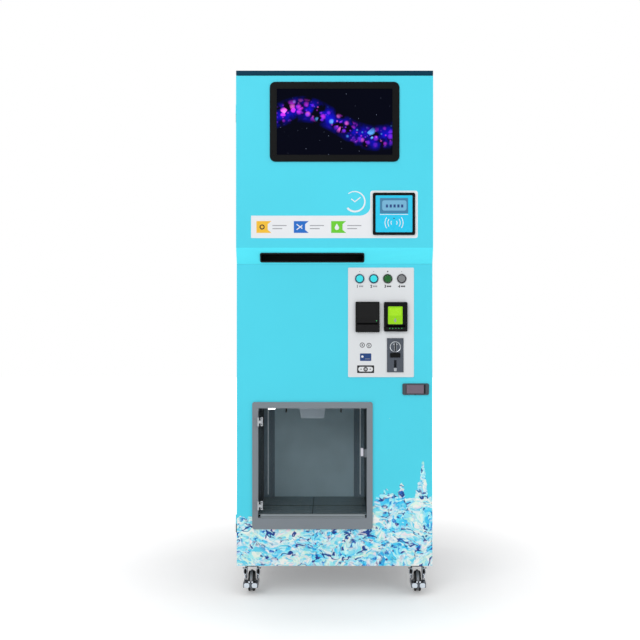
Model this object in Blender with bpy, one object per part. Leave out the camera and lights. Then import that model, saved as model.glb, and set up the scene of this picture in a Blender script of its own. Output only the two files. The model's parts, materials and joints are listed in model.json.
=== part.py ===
"""Ice vending machine, built from its separate pieces.

Metres, +Z up, the front faces -Y. The origin is on the floor under the middle of the cabinet.
"""

import math

import bmesh
import bpy
from mathutils import Vector

# Cabinet
CABINET_WIDTH = 0.724
CABINET_HEIGHT = 1.942
DOOR_BOTTOM = 0.115
LOWER_FRONT = -0.370
UPPER_STEP = 0.030
DOOR_DEPTH = 0.030
DOOR_GAP = 0.002
CABINET_REAR = 0.395
SHEET = 0.002
FLANGE = 0.025
CAP_EDGE = 0.017
BAND_LOW = 1.232
BAND_HIGH = 1.292

# Clearances shared by every piece
GAP = 0.0003
TURNING_GAP = 0.0004
OVERRUN = 0.004
EMBED = 0.0005

HALF_WIDTH = CABINET_WIDTH / 2
UPPER_FRONT = LOWER_FRONT - UPPER_STEP
DOOR_REAR = LOWER_FRONT + DOOR_DEPTH
CABINET_FRONT = DOOR_REAR + DOOR_GAP
CAP_BOTTOM = CABINET_HEIGHT - CAP_EDGE
DOOR_TOP = CAP_BOTTOM - DOOR_GAP
PANEL_REAR = CABINET_REAR - SHEET - GAP
PANEL_TOP = CAP_BOTTOM - GAP
INNER_HALF = HALF_WIDTH - SHEET - GAP
INNER_FRONT = CABINET_FRONT + SHEET + GAP
INNER_REAR = PANEL_REAR - SHEET - GAP

# Base deck and machine shelf
DECK_BOTTOM = 0.112
DECK_THICK = 0.003
DECK_WALL = 0.045
SHELF_TOP = 0.958
SHELF_THICK = 0.003
SHELF_SETBACK = 0.085
SHELF_SKIRT = 0.030
DECK_TOP = DECK_BOTTOM + DECK_THICK

# Main door hinges, on the parting line at the left edge
HINGE_RADIUS = 0.006
HINGE_PIN = 0.003
HINGE_LENGTH = 0.066
HINGE_LEAF = 0.003
HINGE_LEAF_REACH = 0.030
HINGE_OUT = 0.0005
UPPER_HINGE_DROP = 0.163
UPPER_HINGE_LOW = DOOR_TOP - UPPER_HINGE_DROP
LOWER_HINGE_LOW = 0.232
HINGE_X = -HALF_WIDTH - HINGE_OUT
HINGE_Y = (DOOR_REAR + CABINET_FRONT) / 2

# Display in the upper front
DISPLAY_WIDTH = 0.476
DISPLAY_HEIGHT = 0.293
DISPLAY_RADIUS = 0.020
DISPLAY_DROP = 0.1695
DISPLAY_MID_Z = DOOR_TOP - DISPLAY_DROP
BEZEL_THICK = 0.0035
SCREEN_WIDTH = 0.425
SCREEN_HEIGHT = 0.243
SCREEN_LAP = 0.006
SCREEN_DEPTH = 0.042

# Card reader in the upper front
READER_SIZE = 0.155
READER_MID_X = 0.218
READER_RISE = 0.1236
READER_MID_Z = BAND_HIGH + READER_RISE
READER_RADIUS = 0.006
READER_THICK = 0.006
READER_BODY = 0.130
READER_DEPTH = 0.045

# Bag slot in the sloping band
SLOT_WIDTH = 0.382
SLOT_RISE_SHARE = 0.3833
SLOT_HEIGHT = 0.030
SLOT_MID_X = -0.0826
SLOT_MID_Z = BAND_LOW + (BAND_HIGH - BAND_LOW) * SLOT_RISE_SHARE
SLOT_WALL = 0.002
SLOT_LIP = 0.003
BAG_BOX_FRONT = -0.338
BAG_BOX_DEPTH = 0.065
BAG_BOX_BELOW = 0.045
BAG_BOX_ABOVE = 0.065

# Control plate in the lower front
PLATE_WIDTH = 0.2435
PLATE_HEIGHT = 0.405
PLATE_MID_X = 0.1716
PLATE_DROP = 0.0135
PLATE_TOP = BAND_LOW - PLATE_DROP
PLATE_MID_Z = PLATE_TOP - PLATE_HEIGHT / 2
BUTTON_ROW_SHARE = 0.101
PRINTER_ROW_SHARE = 0.4494
BILL_ROW_SHARE = 0.4477
COIN_ROW_SHARE = 0.7993
PLATE_THICK = 0.0025
PLATE_LAP = 0.010
PLATE_RADIUS = 0.004

# Round buttons
BUTTON_COUNT = 4
BUTTON_PITCH = 0.0517
BUTTON_MID_X = 0.1705
BUTTON_Z = PLATE_TOP - PLATE_HEIGHT * BUTTON_ROW_SHARE
BUTTON_RADIUS = 0.0126
BUTTON_RIM = 0.017
BUTTON_RIM_OUT = 0.003
BUTTON_OUT = 0.0065
BUTTON_SLEEVE = 0.024
BUTTON_TRAVEL = 0.004

# Receipt printer
PRINTER_WIDTH = 0.089
PRINTER_HEIGHT = 0.112
PRINTER_MID_X = 0.1216
PRINTER_MID_Z = PLATE_TOP - PLATE_HEIGHT * PRINTER_ROW_SHARE
PRINTER_OUT = 0.010
PRINTER_EDGE = 0.006
PRINTER_DEPTH = 0.095
PRINTER_LID_HEIGHT = 0.070
PRINTER_LID_THICK = 0.006
PRINTER_LID_PIN = 0.0022
PRINTER_BAY = 0.055
PRINTER_SLOT = 0.006
PRINTER_SLOT_DROP = 0.020

# Bill validator
BILL_WIDTH = 0.087
BILL_HEIGHT = 0.109
BILL_MID_X = 0.2255
BILL_MID_Z = PLATE_TOP - PLATE_HEIGHT * BILL_ROW_SHARE
BILL_OUT = 0.013
BILL_EDGE = 0.007
BILL_DEPTH = 0.100
BILL_MOUTH_WIDTH = 0.070
BILL_MOUTH = 0.008
BILL_MOUTH_DROP = 0.034
BILL_MOUTH_DEPTH = 0.036
BILL_RADIUS = 0.005

# Coin acceptor
COIN_WIDTH = 0.061
COIN_HEIGHT = 0.126
COIN_MID_X = 0.2242
COIN_MID_Z = PLATE_TOP - PLATE_HEIGHT * COIN_ROW_SHARE
COIN_THICK = 0.003
COIN_RING = 0.020
COIN_RING_RISE = 0.031
COIN_RING_OUT = 0.004
COIN_SLOT = 0.0035
COIN_SLOT_HEIGHT = 0.030
COIN_DEPTH = 0.050
COIN_BODY_SHARE = 0.82
REJECT_WIDTH = 0.0366
REJECT_HEIGHT = 0.0155
REJECT_OUT = 0.005
REJECT_DEPTH = 0.014
REJECT_TRAVEL = 0.003
RETURN_WIDTH = 0.0093
RETURN_HEIGHT = 0.027
RETURN_DROP = 0.032
RETURN_DEPTH = 0.028

# Flush lock with a paddle and a cam
LOCK_WIDTH = 0.098
LOCK_HEIGHT = 0.0425
LOCK_MID_X = 0.2999
LOCK_DROP = 0.0445
LOCK_MID_Z = PLATE_TOP - PLATE_HEIGHT - LOCK_DROP
LOCK_THICK = 0.004
LOCK_RADIUS = 0.006
LOCK_DISH_WIDTH = 0.072
LOCK_DISH_HEIGHT = 0.0335
LOCK_DISH_DEPTH = 0.014
LOCK_WALL = 0.002
PADDLE_THICK = 0.006
PADDLE_PIN = 0.0015
PADDLE_PIN_IN = 0.004
PADDLE_SHORT = 0.006
CAM_SHAFT = 0.005
CAM_THICK = 0.003
CAM_LENGTH = 0.040
CAM_WIDTH = 0.016
CAM_X = 0.315
CAM_CLEAR = 0.0045

# Ice outlet in the lower front
OUTLET_WIDTH = 0.402
OUTLET_LOW = 0.293
OUTLET_HIGH = 0.6985
OUTLET_MID_X = -0.0819
OUTLET_SIDE = 0.0215
OUTLET_TOP = 0.023
OUTLET_FOOT = 0.041
OUTLET_RADIUS = 0.008
OUTLET_THICK = 0.006
OUTLET_WALL = 0.003
PANE_THICK = 0.005
PANE_BACK = 0.003
PANE_HINGE_GAP = 0.009
PANE_LATCH_GAP = 0.007
PANE_TOP_GAP = 0.003
RAIL_HEIGHT = 0.0145
RAIL_THICK = 0.009
PANE_HINGE_HEIGHT = 0.032
PANE_HINGE_LOW = 0.3234
PANE_HINGE_HIGH = 0.633
PANE_HINGE_RADIUS = 0.0035
PANE_HINGE_PIN = 0.0015
PANE_HINGE_OUT = 0.0045
PANE_LEAF_LEFT = 0.0137
PANE_LEAF_THICK = 0.0025
PANE_CLAMP_REACH = 0.013
PANE_LATCH_WIDTH = 0.012
PANE_LATCH_HEIGHT = 0.030
PANE_LATCH_THICK = 0.006
PANE_LATCH_SHARE = 0.55

# Ice chamber and drip grille
CHAMBER_DEPTH = 0.340
CHAMBER_WALL = 0.002
CHAMBER_BEVEL = 0.041
CHAMBER_FLOOR = 0.298
CHAMBER_ROOF = 0.7065
GRILLE_THICK = 0.006
GRILLE_EDGE = 0.012
GRILLE_SLOTS = 9
GRILLE_SLOT = 0.007
GRILLE_LIFT = 0.025

# Ice chute, bin and auger
CHUTE_MID_X = -0.085
CHUTE_MID_Y = -0.170
CHUTE_TOP_WIDTH = 0.108
CHUTE_MOUTH_WIDTH = 0.088
CHUTE_SPAN_Y = 0.070
CHUTE_MOUTH = 0.640
CHUTE_WALL = 0.002
CHUTE_FLANGE = 0.015
BIN_SIDE_ROOM = 0.0597
BIN_HALF = INNER_HALF - BIN_SIDE_ROOM
BIN_FRONT = -0.235
BIN_REAR = 0.330
BIN_TOP = 1.400
BIN_WALL = 0.022
BIN_SLOPE_HIGH = 1.130
TROUGH_RADIUS = 0.044
AUGER_Z = 1.030
AUGER_RADIUS = 0.039
AUGER_SHAFT = 0.010
AUGER_BLADE = 0.004
AUGER_TURNS = 7
AUGER_END_ROOM = 0.0155
AUGER_PITCH = (BIN_HALF - BIN_WALL - AUGER_END_ROOM) * 2 / AUGER_TURNS
GEARBOX_WIDTH = 0.052
GEARBOX_SPAN = 0.090
GEARBOX_HEIGHT = 0.130
GEARMOTOR_RADIUS = 0.024
GEARMOTOR_LENGTH = 0.080
AUGER_DRIVE = 0.020

# Ice maker head on the bin
HEAD_INSET = 0.020
HEAD_HALF = BIN_HALF - HEAD_INSET
HEAD_FRONT = -0.225
HEAD_REAR = 0.310
HEAD_ROOM = 0.085
HEAD_TOP = CAP_BOTTOM - HEAD_ROOM
HEAD_RADIUS = 0.015

# Compressor, condenser and fan
COMPRESSOR_INSET = 0.172
COMPRESSOR_X = -HALF_WIDTH + COMPRESSOR_INSET
COMPRESSOR_Y = 0.200
COMPRESSOR_RADIUS = 0.085
COMPRESSOR_HEIGHT = 0.210
COMPRESSOR_FOOT = 0.100
COMPRESSOR_FOOT_THICK = 0.012
CONDENSER_LOW_X = 0.000
CONDENSER_HIGH_X = 0.290
CONDENSER_FRONT = 0.330
CONDENSER_REAR = 0.372
CONDENSER_TOP = 0.420
SHROUD_DEPTH = 0.036
SHROUD_HOLE = 0.122
FAN_RADIUS = 0.112
FAN_HUB = 0.026
FAN_DEPTH = 0.022
FAN_BLADES = 5
FAN_SHAFT = 0.004
FAN_MOTOR_RADIUS = 0.034
FAN_MOTOR_LENGTH = 0.040
FAN_BAR = 0.022
FAN_BAR_THICK = 0.004

# Control box, water inlet and power inlet
BOX_LEFT = 0.170
BOX_FRONT = -0.240
BOX_DEPTH = 0.180
BOX_LOW = 0.450
BOX_HEIGHT = 0.260
ROCKER_WIDTH = 0.020
ROCKER_HEIGHT = 0.028
ROCKER_THICK = 0.008
ROCKER_OUT = 0.003
ROCKER_PIN = 0.0015
ROCKER_DROP = 0.070
ROCKER_RELIEF = 0.006
INLET_INSET = 0.082
INLET_X = -HALF_WIDTH + INLET_INSET
VALVE_Z = 0.330
VALVE_SIZE = 0.050
VALVE_DEPTH = 0.040
VALVE_STUB = 0.012
VALVE_OUT = 0.016
VALVE_BORE = 0.007
POWER_Z = 0.230
POWER_WIDTH = 0.050
POWER_HEIGHT = 0.032
POWER_BODY_WIDTH = 0.028
POWER_BODY_HEIGHT = 0.020
POWER_THICK = 0.004
POWER_DEPTH = 0.026

# Rear cover louvres
LOUVRE_ROWS = 8
LOUVRE_LENGTH = 0.120
LOUVRE_SLOT = 0.010
LOUVRE_PITCH = 0.030
LOUVRE_LOW = 0.180
LOUVRE_GAP = 0.020

# Casters
CASTER_INSET = 0.050
CASTER_X = HALF_WIDTH - CASTER_INSET
CASTER_FRONT_Y = -0.262
CASTER_REAR_Y = 0.325
CASTER_TRAIL = 0.026
WHEEL_RADIUS = 0.0375
WHEEL_WIDTH = 0.030
WHEEL_SIDES = 24
AXLE_RADIUS = 0.004
CHEEK_INNER = 0.018
CHEEK_THICK = 0.003
CHEEK_HEAD = 0.024
CHEEK_FOOT = 0.010
FORK_RADIUS = 0.032
FORK_TOP = 0.0955
FORK_THICK = 0.004
CASTER_PLATE_HALF = 0.040
CASTER_PLATE_THICK = 0.003
CASTER_BOSS = 0.024
KINGPIN = 0.006
KINGPIN_HEAD = 0.010
KINGPIN_HEAD_THICK = 0.003
PEDAL_HALF = 0.0275
PEDAL_THICK = 0.003
PEDAL_LOW = 0.030
PEDAL_HEIGHT = 0.018
PEDAL_REACH = 0.068
PEDAL_BAR = 0.022

ROUND_SIDES = 24
SMALL_SIDES = 16
SHADE_ANGLE = math.radians(35)

# Finish: colour, roughness, metallic
FINISHES = {
    "cyan_paint": ((0.08, 0.69, 0.85), 0.35, 0.0),
    "cap_paint": ((0.0, 0.05, 0.09), 0.4, 0.2),
    "white_paint": ((0.72, 0.76, 0.79), 0.45, 0.0),
    "plate_paint": ((0.73, 0.75, 0.76), 0.35, 0.0),
    "zinc": ((0.55, 0.57, 0.58), 0.4, 0.9),
    "stainless": ((0.42, 0.45, 0.47), 0.32, 1.0),
    "frame_grey": ((0.20, 0.22, 0.25), 0.38, 0.6),
    "chrome": ((0.8, 0.8, 0.82), 0.08, 1.0),
    "black_plastic": ((0.015, 0.015, 0.018), 0.4, 0.0),
    "dark_metal": ((0.055, 0.065, 0.08), 0.4, 0.6),
    "screen_glass": ((0.004, 0.006, 0.03), 0.08, 0.0),
    "smoked_glass": ((0.18, 0.22, 0.24), 0.05, 0.0),
    "reader_blue": ((0.05, 0.45, 0.65), 0.3, 0.0),
    "rubber": ((0.02, 0.02, 0.02), 0.8, 0.0),
    "bin_plastic": ((0.80, 0.84, 0.86), 0.5, 0.0),
    "black_iron": ((0.02, 0.02, 0.022), 0.5, 0.3),
    "button_cyan": ((0.03, 0.72, 0.85), 0.2, 0.0),
    "button_green": ((0.0, 0.10, 0.02), 0.25, 0.0),
    "button_grey": ((0.17, 0.17, 0.18), 0.3, 0.3),
    "red_plastic": ((0.55, 0.02, 0.02), 0.3, 0.0),
}


def clear_scene():
    """Remove every object that is in the file."""
    for obj in list(bpy.data.objects):
        bpy.data.objects.remove(obj, do_unlink=True)


def finish(name):
    """Return the material of a named finish, made once."""
    made = bpy.data.materials.get(name)
    if made:
        return made
    colour, roughness, metallic = FINISHES[name]
    made = bpy.data.materials.new(name)
    made.use_nodes = True
    shader = made.node_tree.nodes["Principled BSDF"]
    shader.inputs["Base Color"].default_value = (*colour, 1.0)
    shader.inputs["Roughness"].default_value = roughness
    shader.inputs["Metallic"].default_value = metallic
    return made


def world_place(obj):
    """Return where an object stands, adding up its parents' places."""
    place = Vector(obj.location)
    while obj.parent:
        obj = obj.parent
        place += obj.location
    return place


def pivot(name, at, parent=None):
    """Add an empty on a joint's axis, for the pieces that move with it."""
    empty = bpy.data.objects.new(name, None)
    bpy.context.collection.objects.link(empty)
    empty.parent = parent
    base = world_place(parent) if parent else Vector((0, 0, 0))
    empty.location = Vector(at) - base
    return empty


def piece(name, bm, finish_name, body=None, smooth=False):
    """Make an object of a mesh drawn in world coordinates, with its origin on its body's pivot."""
    bmesh.ops.recalc_face_normals(bm, faces=bm.faces)
    if body:
        origin = world_place(body)
    else:
        low, high = corners_of(bm)
        origin = (low + high) / 2
    bmesh.ops.translate(bm, verts=bm.verts, vec=-origin)
    mesh = bpy.data.meshes.new(name)
    bm.to_mesh(mesh)
    bm.free()
    if smooth:
        mesh.shade_smooth()
        mesh.set_sharp_from_angle(angle=SHADE_ANGLE)
    obj = bpy.data.objects.new(name, mesh)
    bpy.context.collection.objects.link(obj)
    obj.data.materials.append(finish(finish_name))
    obj.parent = body
    obj.location = Vector((0, 0, 0)) if body else origin
    return obj


def corners_of(bm):
    """Return the lowest and highest corner of a mesh."""
    low = Vector([min(v.co[i] for v in bm.verts) for i in range(3)])
    high = Vector([max(v.co[i] for v in bm.verts) for i in range(3)])
    return low, high


def block(low, high):
    """Draw a box between two corners."""
    bm = bmesh.new()
    bmesh.ops.create_cube(bm, size=1.0)
    size = [high[i] - low[i] for i in range(3)]
    middle = [(high[i] + low[i]) / 2 for i in range(3)]
    bmesh.ops.scale(bm, verts=bm.verts, vec=size)
    bmesh.ops.translate(bm, verts=bm.verts, vec=middle)
    return bm


def axis_order(axis):
    """Return the numbers of the two axes across, in x, y, z order, and of the axis itself."""
    return {"x": (1, 2, 0), "y": (0, 2, 1), "z": (0, 1, 2)}[axis]


def prism(outline, axis, start, end):
    """Extrude an outline along an axis. The outline holds the two other coordinates, in x, y, z order."""
    first, second, along = axis_order(axis)
    bm = bmesh.new()
    corners = []
    for a, b in outline:
        co = [0.0, 0.0, 0.0]
        co[first], co[second], co[along] = a, b, start
        corners.append(bm.verts.new(co))
    face = bm.faces.new(corners)
    grown = bmesh.ops.extrude_face_region(bm, geom=[face])
    moved = [item for item in grown["geom"] if isinstance(item, bmesh.types.BMVert)]
    shift = [0.0, 0.0, 0.0]
    shift[along] = end - start
    bmesh.ops.translate(bm, verts=moved, vec=shift)
    return bm


def rounded(mid_a, mid_b, width, height, radius, steps=4):
    """Return the outline of a rectangle with round corners."""
    points = []
    quarter = math.pi / 2
    for corner, (side_a, side_b) in enumerate(((1, 1), (-1, 1), (-1, -1), (1, -1))):
        centre_a = mid_a + side_a * (width / 2 - radius)
        centre_b = mid_b + side_b * (height / 2 - radius)
        for step in range(steps + 1):
            angle = quarter * (corner + step / steps)
            points.append((centre_a + radius * math.cos(angle), centre_b + radius * math.sin(angle)))
    return points


def rod(axis, centre, start, end, radius, sides=SMALL_SIDES, bore=None):
    """Draw a round rod along an axis, or a tube if a bore is given. A flat faces each way."""
    radii = [(radius, start), (radius, end)]
    return turned(axis, centre, radii, sides, bore)


def turned(axis, centre, profile, sides=ROUND_SIDES, bore=None):
    """Turn a profile of (radius, place along the axis) about an axis, closed by flat ends."""
    first, second, along = axis_order(axis)
    outline = list(profile)
    if bore:
        outline += [(bore, profile[-1][1]), (bore, profile[0][1])]
    bm = bmesh.new()
    rings = []
    for radius, place in outline:
        ring = []
        for side in range(sides):
            angle = 2 * math.pi * (side + 0.5) / sides
            co = [0.0, 0.0, 0.0]
            co[first] = centre[0] + radius * math.cos(angle)
            co[second] = centre[1] + radius * math.sin(angle)
            co[along] = place
            ring.append(bm.verts.new(co))
        rings.append(ring)
    pairs = list(zip(rings, rings[1:]))
    if bore:
        pairs.append((rings[-1], rings[0]))
    else:
        bm.faces.new(rings[0])
        bm.faces.new(rings[-1])
    for lower, upper in pairs:
        for side in range(sides):
            after = (side + 1) % sides
            bm.faces.new((lower[side], lower[after], upper[after], upper[side]))
    return bm


def tool(bm):
    """Make a hidden guide object for a Boolean."""
    guide = piece("guide", bm, "zinc")
    guide.hide_render = True
    guide.display_type = "WIRE"
    return guide


def boolean(obj, bm, operation):
    """Add a Boolean with a drawn mesh."""
    step = obj.modifiers.new(operation.lower(), "BOOLEAN")
    step.operation = operation
    step.solver = "EXACT"
    step.object = tool(bm)
    return obj


def cut(obj, *meshes):
    """Cut drawn meshes out of an object."""
    for bm in meshes:
        boolean(obj, bm, "DIFFERENCE")
    return obj


def fuse(obj, *meshes):
    """Join drawn meshes to an object."""
    for bm in meshes:
        boolean(obj, bm, "UNION")
    return obj


def cabinet_shell():
    """Base deck, side panels, rear cover, top cap and machine shelf."""
    deck_high = DECK_BOTTOM + DECK_WALL
    deck = piece(
        "base_deck",
        block((-INNER_HALF, INNER_FRONT, DECK_BOTTOM), (INNER_HALF, INNER_REAR, deck_high)),
        "zinc",
    )
    inside_low = (-INNER_HALF + SHEET, INNER_FRONT + SHEET, DECK_TOP)
    inside_high = (INNER_HALF - SHEET, INNER_REAR - SHEET, deck_high + OVERRUN)
    cut(deck, block(inside_low, inside_high))
    for name, side in (("left_side_panel", -1), ("right_side_panel", 1)):
        side_panel(name, side)
    shelf_low = SHELF_TOP - SHELF_SKIRT
    shelf_front = INNER_FRONT + SHELF_SETBACK
    shelf = piece(
        "machine_shelf",
        block((-INNER_HALF, shelf_front, shelf_low), (INNER_HALF, INNER_REAR, SHELF_TOP)),
        "zinc",
    )
    below_low = (-INNER_HALF + SHEET, shelf_front + SHEET, shelf_low - OVERRUN)
    below_high = (INNER_HALF - SHEET, INNER_REAR - SHEET, SHELF_TOP - SHELF_THICK)
    cut(shelf, block(below_low, below_high), chute_hole(SHELF_TOP - SHELF_SKIRT, SHELF_TOP + OVERRUN))
    cap = piece(
        "top_cap",
        block((-HALF_WIDTH, UPPER_FRONT, CAP_BOTTOM), (HALF_WIDTH, CABINET_REAR, CABINET_HEIGHT)),
        "cap_paint",
    )
    hollow_low = (-HALF_WIDTH + SHEET, UPPER_FRONT + SHEET, CAP_BOTTOM - OVERRUN)
    hollow_high = (HALF_WIDTH - SHEET, CABINET_REAR - SHEET, CABINET_HEIGHT - SHEET)
    cut(cap, block(hollow_low, hollow_high))
    rear_cover()


def side_panel(name, side):
    """Side panel folded to a channel, with flanges at the front and the rear."""
    outer = side * HALF_WIDTH
    inner = side * (HALF_WIDTH - SHEET)
    lip = side * (HALF_WIDTH - FLANGE)
    outline = [
        (outer, CABINET_FRONT),
        (outer, PANEL_REAR),
        (lip, PANEL_REAR),
        (lip, PANEL_REAR - SHEET),
        (inner, PANEL_REAR - SHEET),
        (inner, CABINET_FRONT + SHEET),
        (lip, CABINET_FRONT + SHEET),
        (lip, CABINET_FRONT),
    ]
    panel = piece(name, prism(outline, "z", DECK_BOTTOM, PANEL_TOP), "white_paint")
    if side < 0:
        for low in (UPPER_HINGE_LOW, LOWER_HINGE_LOW):
            cut(panel, hinge_notch(low))


def rear_cover():
    """Rear cover with two columns of louvre slots and holes for the inlets."""
    rear_low = PANEL_REAR + GAP
    cover = piece(
        "rear_cover",
        block((-HALF_WIDTH, rear_low, DECK_BOTTOM), (HALF_WIDTH, CABINET_REAR, PANEL_TOP)),
        "white_paint",
    )
    middle = (CONDENSER_LOW_X + CONDENSER_HIGH_X) / 2
    for row in range(LOUVRE_ROWS):
        low = LOUVRE_LOW + row * LOUVRE_PITCH
        for side in (-1, 1):
            near = middle + side * LOUVRE_GAP / 2
            far = near + side * LOUVRE_LENGTH
            left, right = min(near, far), max(near, far)
            hole = block(
                (left, rear_low - OVERRUN, low),
                (right, CABINET_REAR + OVERRUN, low + LOUVRE_SLOT),
            )
            cut(cover, hole)
    start, end = rear_low - OVERRUN, CABINET_REAR + OVERRUN
    cut(cover, rod("y", (INLET_X, VALVE_Z), start, end, VALVE_STUB + GAP * 2))
    power_hole = rounded(
        INLET_X, POWER_Z, POWER_BODY_WIDTH + GAP * 2, POWER_BODY_HEIGHT + GAP * 2, GAP * 2, 1
    )
    cut(cover, prism(power_hole, "y", start, end))


def hinge_notch(low):
    """Draw the notch that clears one main hinge's barrel."""
    reach = HINGE_RADIUS + GAP
    return block(
        (HINGE_X - reach, HINGE_Y - reach, low - GAP),
        (HINGE_X + reach, HINGE_Y + reach, low + HINGE_LENGTH + GAP),
    )


def main_hinges():
    """Cabinet halves of the door's two lift-off hinges, each with its pin."""
    leaf_left = -INNER_HALF
    leaf_right = leaf_left + HINGE_LEAF
    half = HINGE_LENGTH / 2
    for name, low in (("door_hinge_upper", UPPER_HINGE_LOW), ("door_hinge_lower", LOWER_HINGE_LOW)):
        centre = (HINGE_X, HINGE_Y)
        barrel = rod("z", centre, low, low + half - GAP, HINGE_RADIUS)
        hinge = piece(name, barrel, "black_iron", smooth=True)
        pin = rod("z", centre, low + half - EMBED * 2, low + HINGE_LENGTH - SHEET, HINGE_PIN)
        neck_low = (HINGE_X, CABINET_FRONT + SHEET + GAP, low)
        neck = block(neck_low, (leaf_right, HINGE_Y + HINGE_RADIUS, low + half - GAP))
        leaf_front = HINGE_Y + HINGE_RADIUS - EMBED
        leaf = block(
            (leaf_left, leaf_front, low),
            (leaf_right, leaf_front + HINGE_LEAF_REACH, low + half - GAP),
        )
        fuse(hinge, pin, neck, leaf)


def chute_hole(low, high):
    """Draw the hole that lets ice down from the bin into the chute."""
    half = CHUTE_TOP_WIDTH / 2
    half_y = CHUTE_SPAN_Y / 2
    return block(
        (CHUTE_MID_X - half, CHUTE_MID_Y - half_y, low),
        (CHUTE_MID_X + half, CHUTE_MID_Y + half_y, high),
    )


def chute_solid(inset, low, high):
    """Draw the chute's tapered solid, drawn in all round by an inset."""
    drop = (SHELF_TOP - SHELF_THICK) - CHUTE_MOUTH
    outlines = []
    for place in (low, high):
        share = (place - CHUTE_MOUTH) / drop
        half = (CHUTE_MOUTH_WIDTH + (CHUTE_TOP_WIDTH - CHUTE_MOUTH_WIDTH) * share) / 2 - inset
        outlines.append((place, half))
    bm = bmesh.new()
    rings = []
    half_y = CHUTE_SPAN_Y / 2 - inset
    for place, half in outlines:
        ring = []
        for side_x, side_y in ((-1, -1), (1, -1), (1, 1), (-1, 1)):
            co = (CHUTE_MID_X + side_x * half, CHUTE_MID_Y + side_y * half_y, place)
            ring.append(bm.verts.new(co))
        rings.append(ring)
    bm.faces.new(rings[0])
    bm.faces.new(rings[1])
    for index in range(len(rings[0])):
        after = (index + 1) % len(rings[0])
        bm.faces.new((rings[0][index], rings[0][after], rings[1][after], rings[1][index]))
    return bm


def ice_path():
    """Ice bin with its trough, maker head, chute and auger drive."""
    floor = SHELF_TOP + GAP
    bin_body = piece(
        "ice_bin",
        block((-BIN_HALF, BIN_FRONT, floor), (BIN_HALF, BIN_REAR, BIN_TOP)),
        "bin_plastic",
    )
    inner_front = BIN_FRONT + BIN_WALL
    inner_rear = BIN_REAR - BIN_WALL
    arc = []
    steps = ROUND_SIDES // 3
    for step in range(steps + 1):
        angle = math.pi + math.pi * step / steps
        arc.append(
            (CHUTE_MID_Y + TROUGH_RADIUS * math.cos(angle), AUGER_Z + TROUGH_RADIUS * math.sin(angle))
        )
    over = BIN_TOP + OVERRUN
    outline = [
        (inner_front, over),
        (inner_front, AUGER_Z + TROUGH_RADIUS),
        *arc,
        (inner_rear, BIN_SLOPE_HIGH),
        (inner_rear, over),
    ]
    hollow = prism(outline, "x", -BIN_HALF + BIN_WALL, BIN_HALF - BIN_WALL)
    cut(bin_body, hollow, chute_hole(floor - OVERRUN, AUGER_Z - TROUGH_RADIUS / 2))
    shaft_end = BIN_HALF + AUGER_DRIVE
    bore = rod(
        "x", (CHUTE_MID_Y, AUGER_Z), -BIN_HALF + BIN_WALL / 2, BIN_HALF + OVERRUN, AUGER_SHAFT + TURNING_GAP
    )
    cut(bin_body, bore)
    gear_left = BIN_HALF + GAP
    half_y, half_z = GEARBOX_SPAN / 2, GEARBOX_HEIGHT / 2
    gearbox = piece(
        "auger_gearmotor",
        block(
            (gear_left, CHUTE_MID_Y - half_y, AUGER_Z - half_z),
            (gear_left + GEARBOX_WIDTH, CHUTE_MID_Y + half_y, AUGER_Z + half_z),
        ),
        "black_iron",
    )
    motor_x = gear_left + GEARBOX_WIDTH / 2
    motor_low = AUGER_Z + half_z
    motor = rod(
        "z",
        (motor_x, CHUTE_MID_Y),
        motor_low - EMBED,
        motor_low + GEARMOTOR_LENGTH,
        GEARMOTOR_RADIUS,
        ROUND_SIDES,
    )
    fuse(gearbox, motor)
    cut(
        gearbox,
        rod("x", (CHUTE_MID_Y, AUGER_Z), gear_left - OVERRUN, shaft_end + GAP, AUGER_SHAFT + TURNING_GAP),
    )
    head_outline = rounded(
        0, (HEAD_FRONT + HEAD_REAR) / 2, HEAD_HALF * 2, HEAD_REAR - HEAD_FRONT, HEAD_RADIUS, 3
    )
    piece("ice_maker_head", prism(head_outline, "z", BIN_TOP + GAP, HEAD_TOP), "stainless", smooth=True)
    top = SHELF_TOP - SHELF_THICK - GAP
    chute = piece("ice_chute", chute_solid(0, CHUTE_MOUTH, top), "stainless")
    reach = CHUTE_FLANGE + CHUTE_TOP_WIDTH / 2
    reach_y = CHUTE_FLANGE + CHUTE_SPAN_Y / 2
    flange = block(
        (CHUTE_MID_X - reach, CHUTE_MID_Y - reach_y, top - CHUTE_WALL),
        (CHUTE_MID_X + reach, CHUTE_MID_Y + reach_y, top),
    )
    fuse(chute, flange)
    cut(chute, chute_solid(CHUTE_WALL, CHUTE_MOUTH - OVERRUN, top + OVERRUN))


def auger(body):
    """Auger: a helical blade on a round shaft."""
    end_gap = GAP * 3
    left = -BIN_HALF + BIN_WALL / 2 + end_gap
    right = BIN_HALF + AUGER_DRIVE
    shaft = rod("x", (CHUTE_MID_Y, AUGER_Z), left, right, AUGER_SHAFT)
    screw = piece("auger_screw", shaft, "stainless", body, smooth=True)
    fuse(screw, helix_blade())


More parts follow.
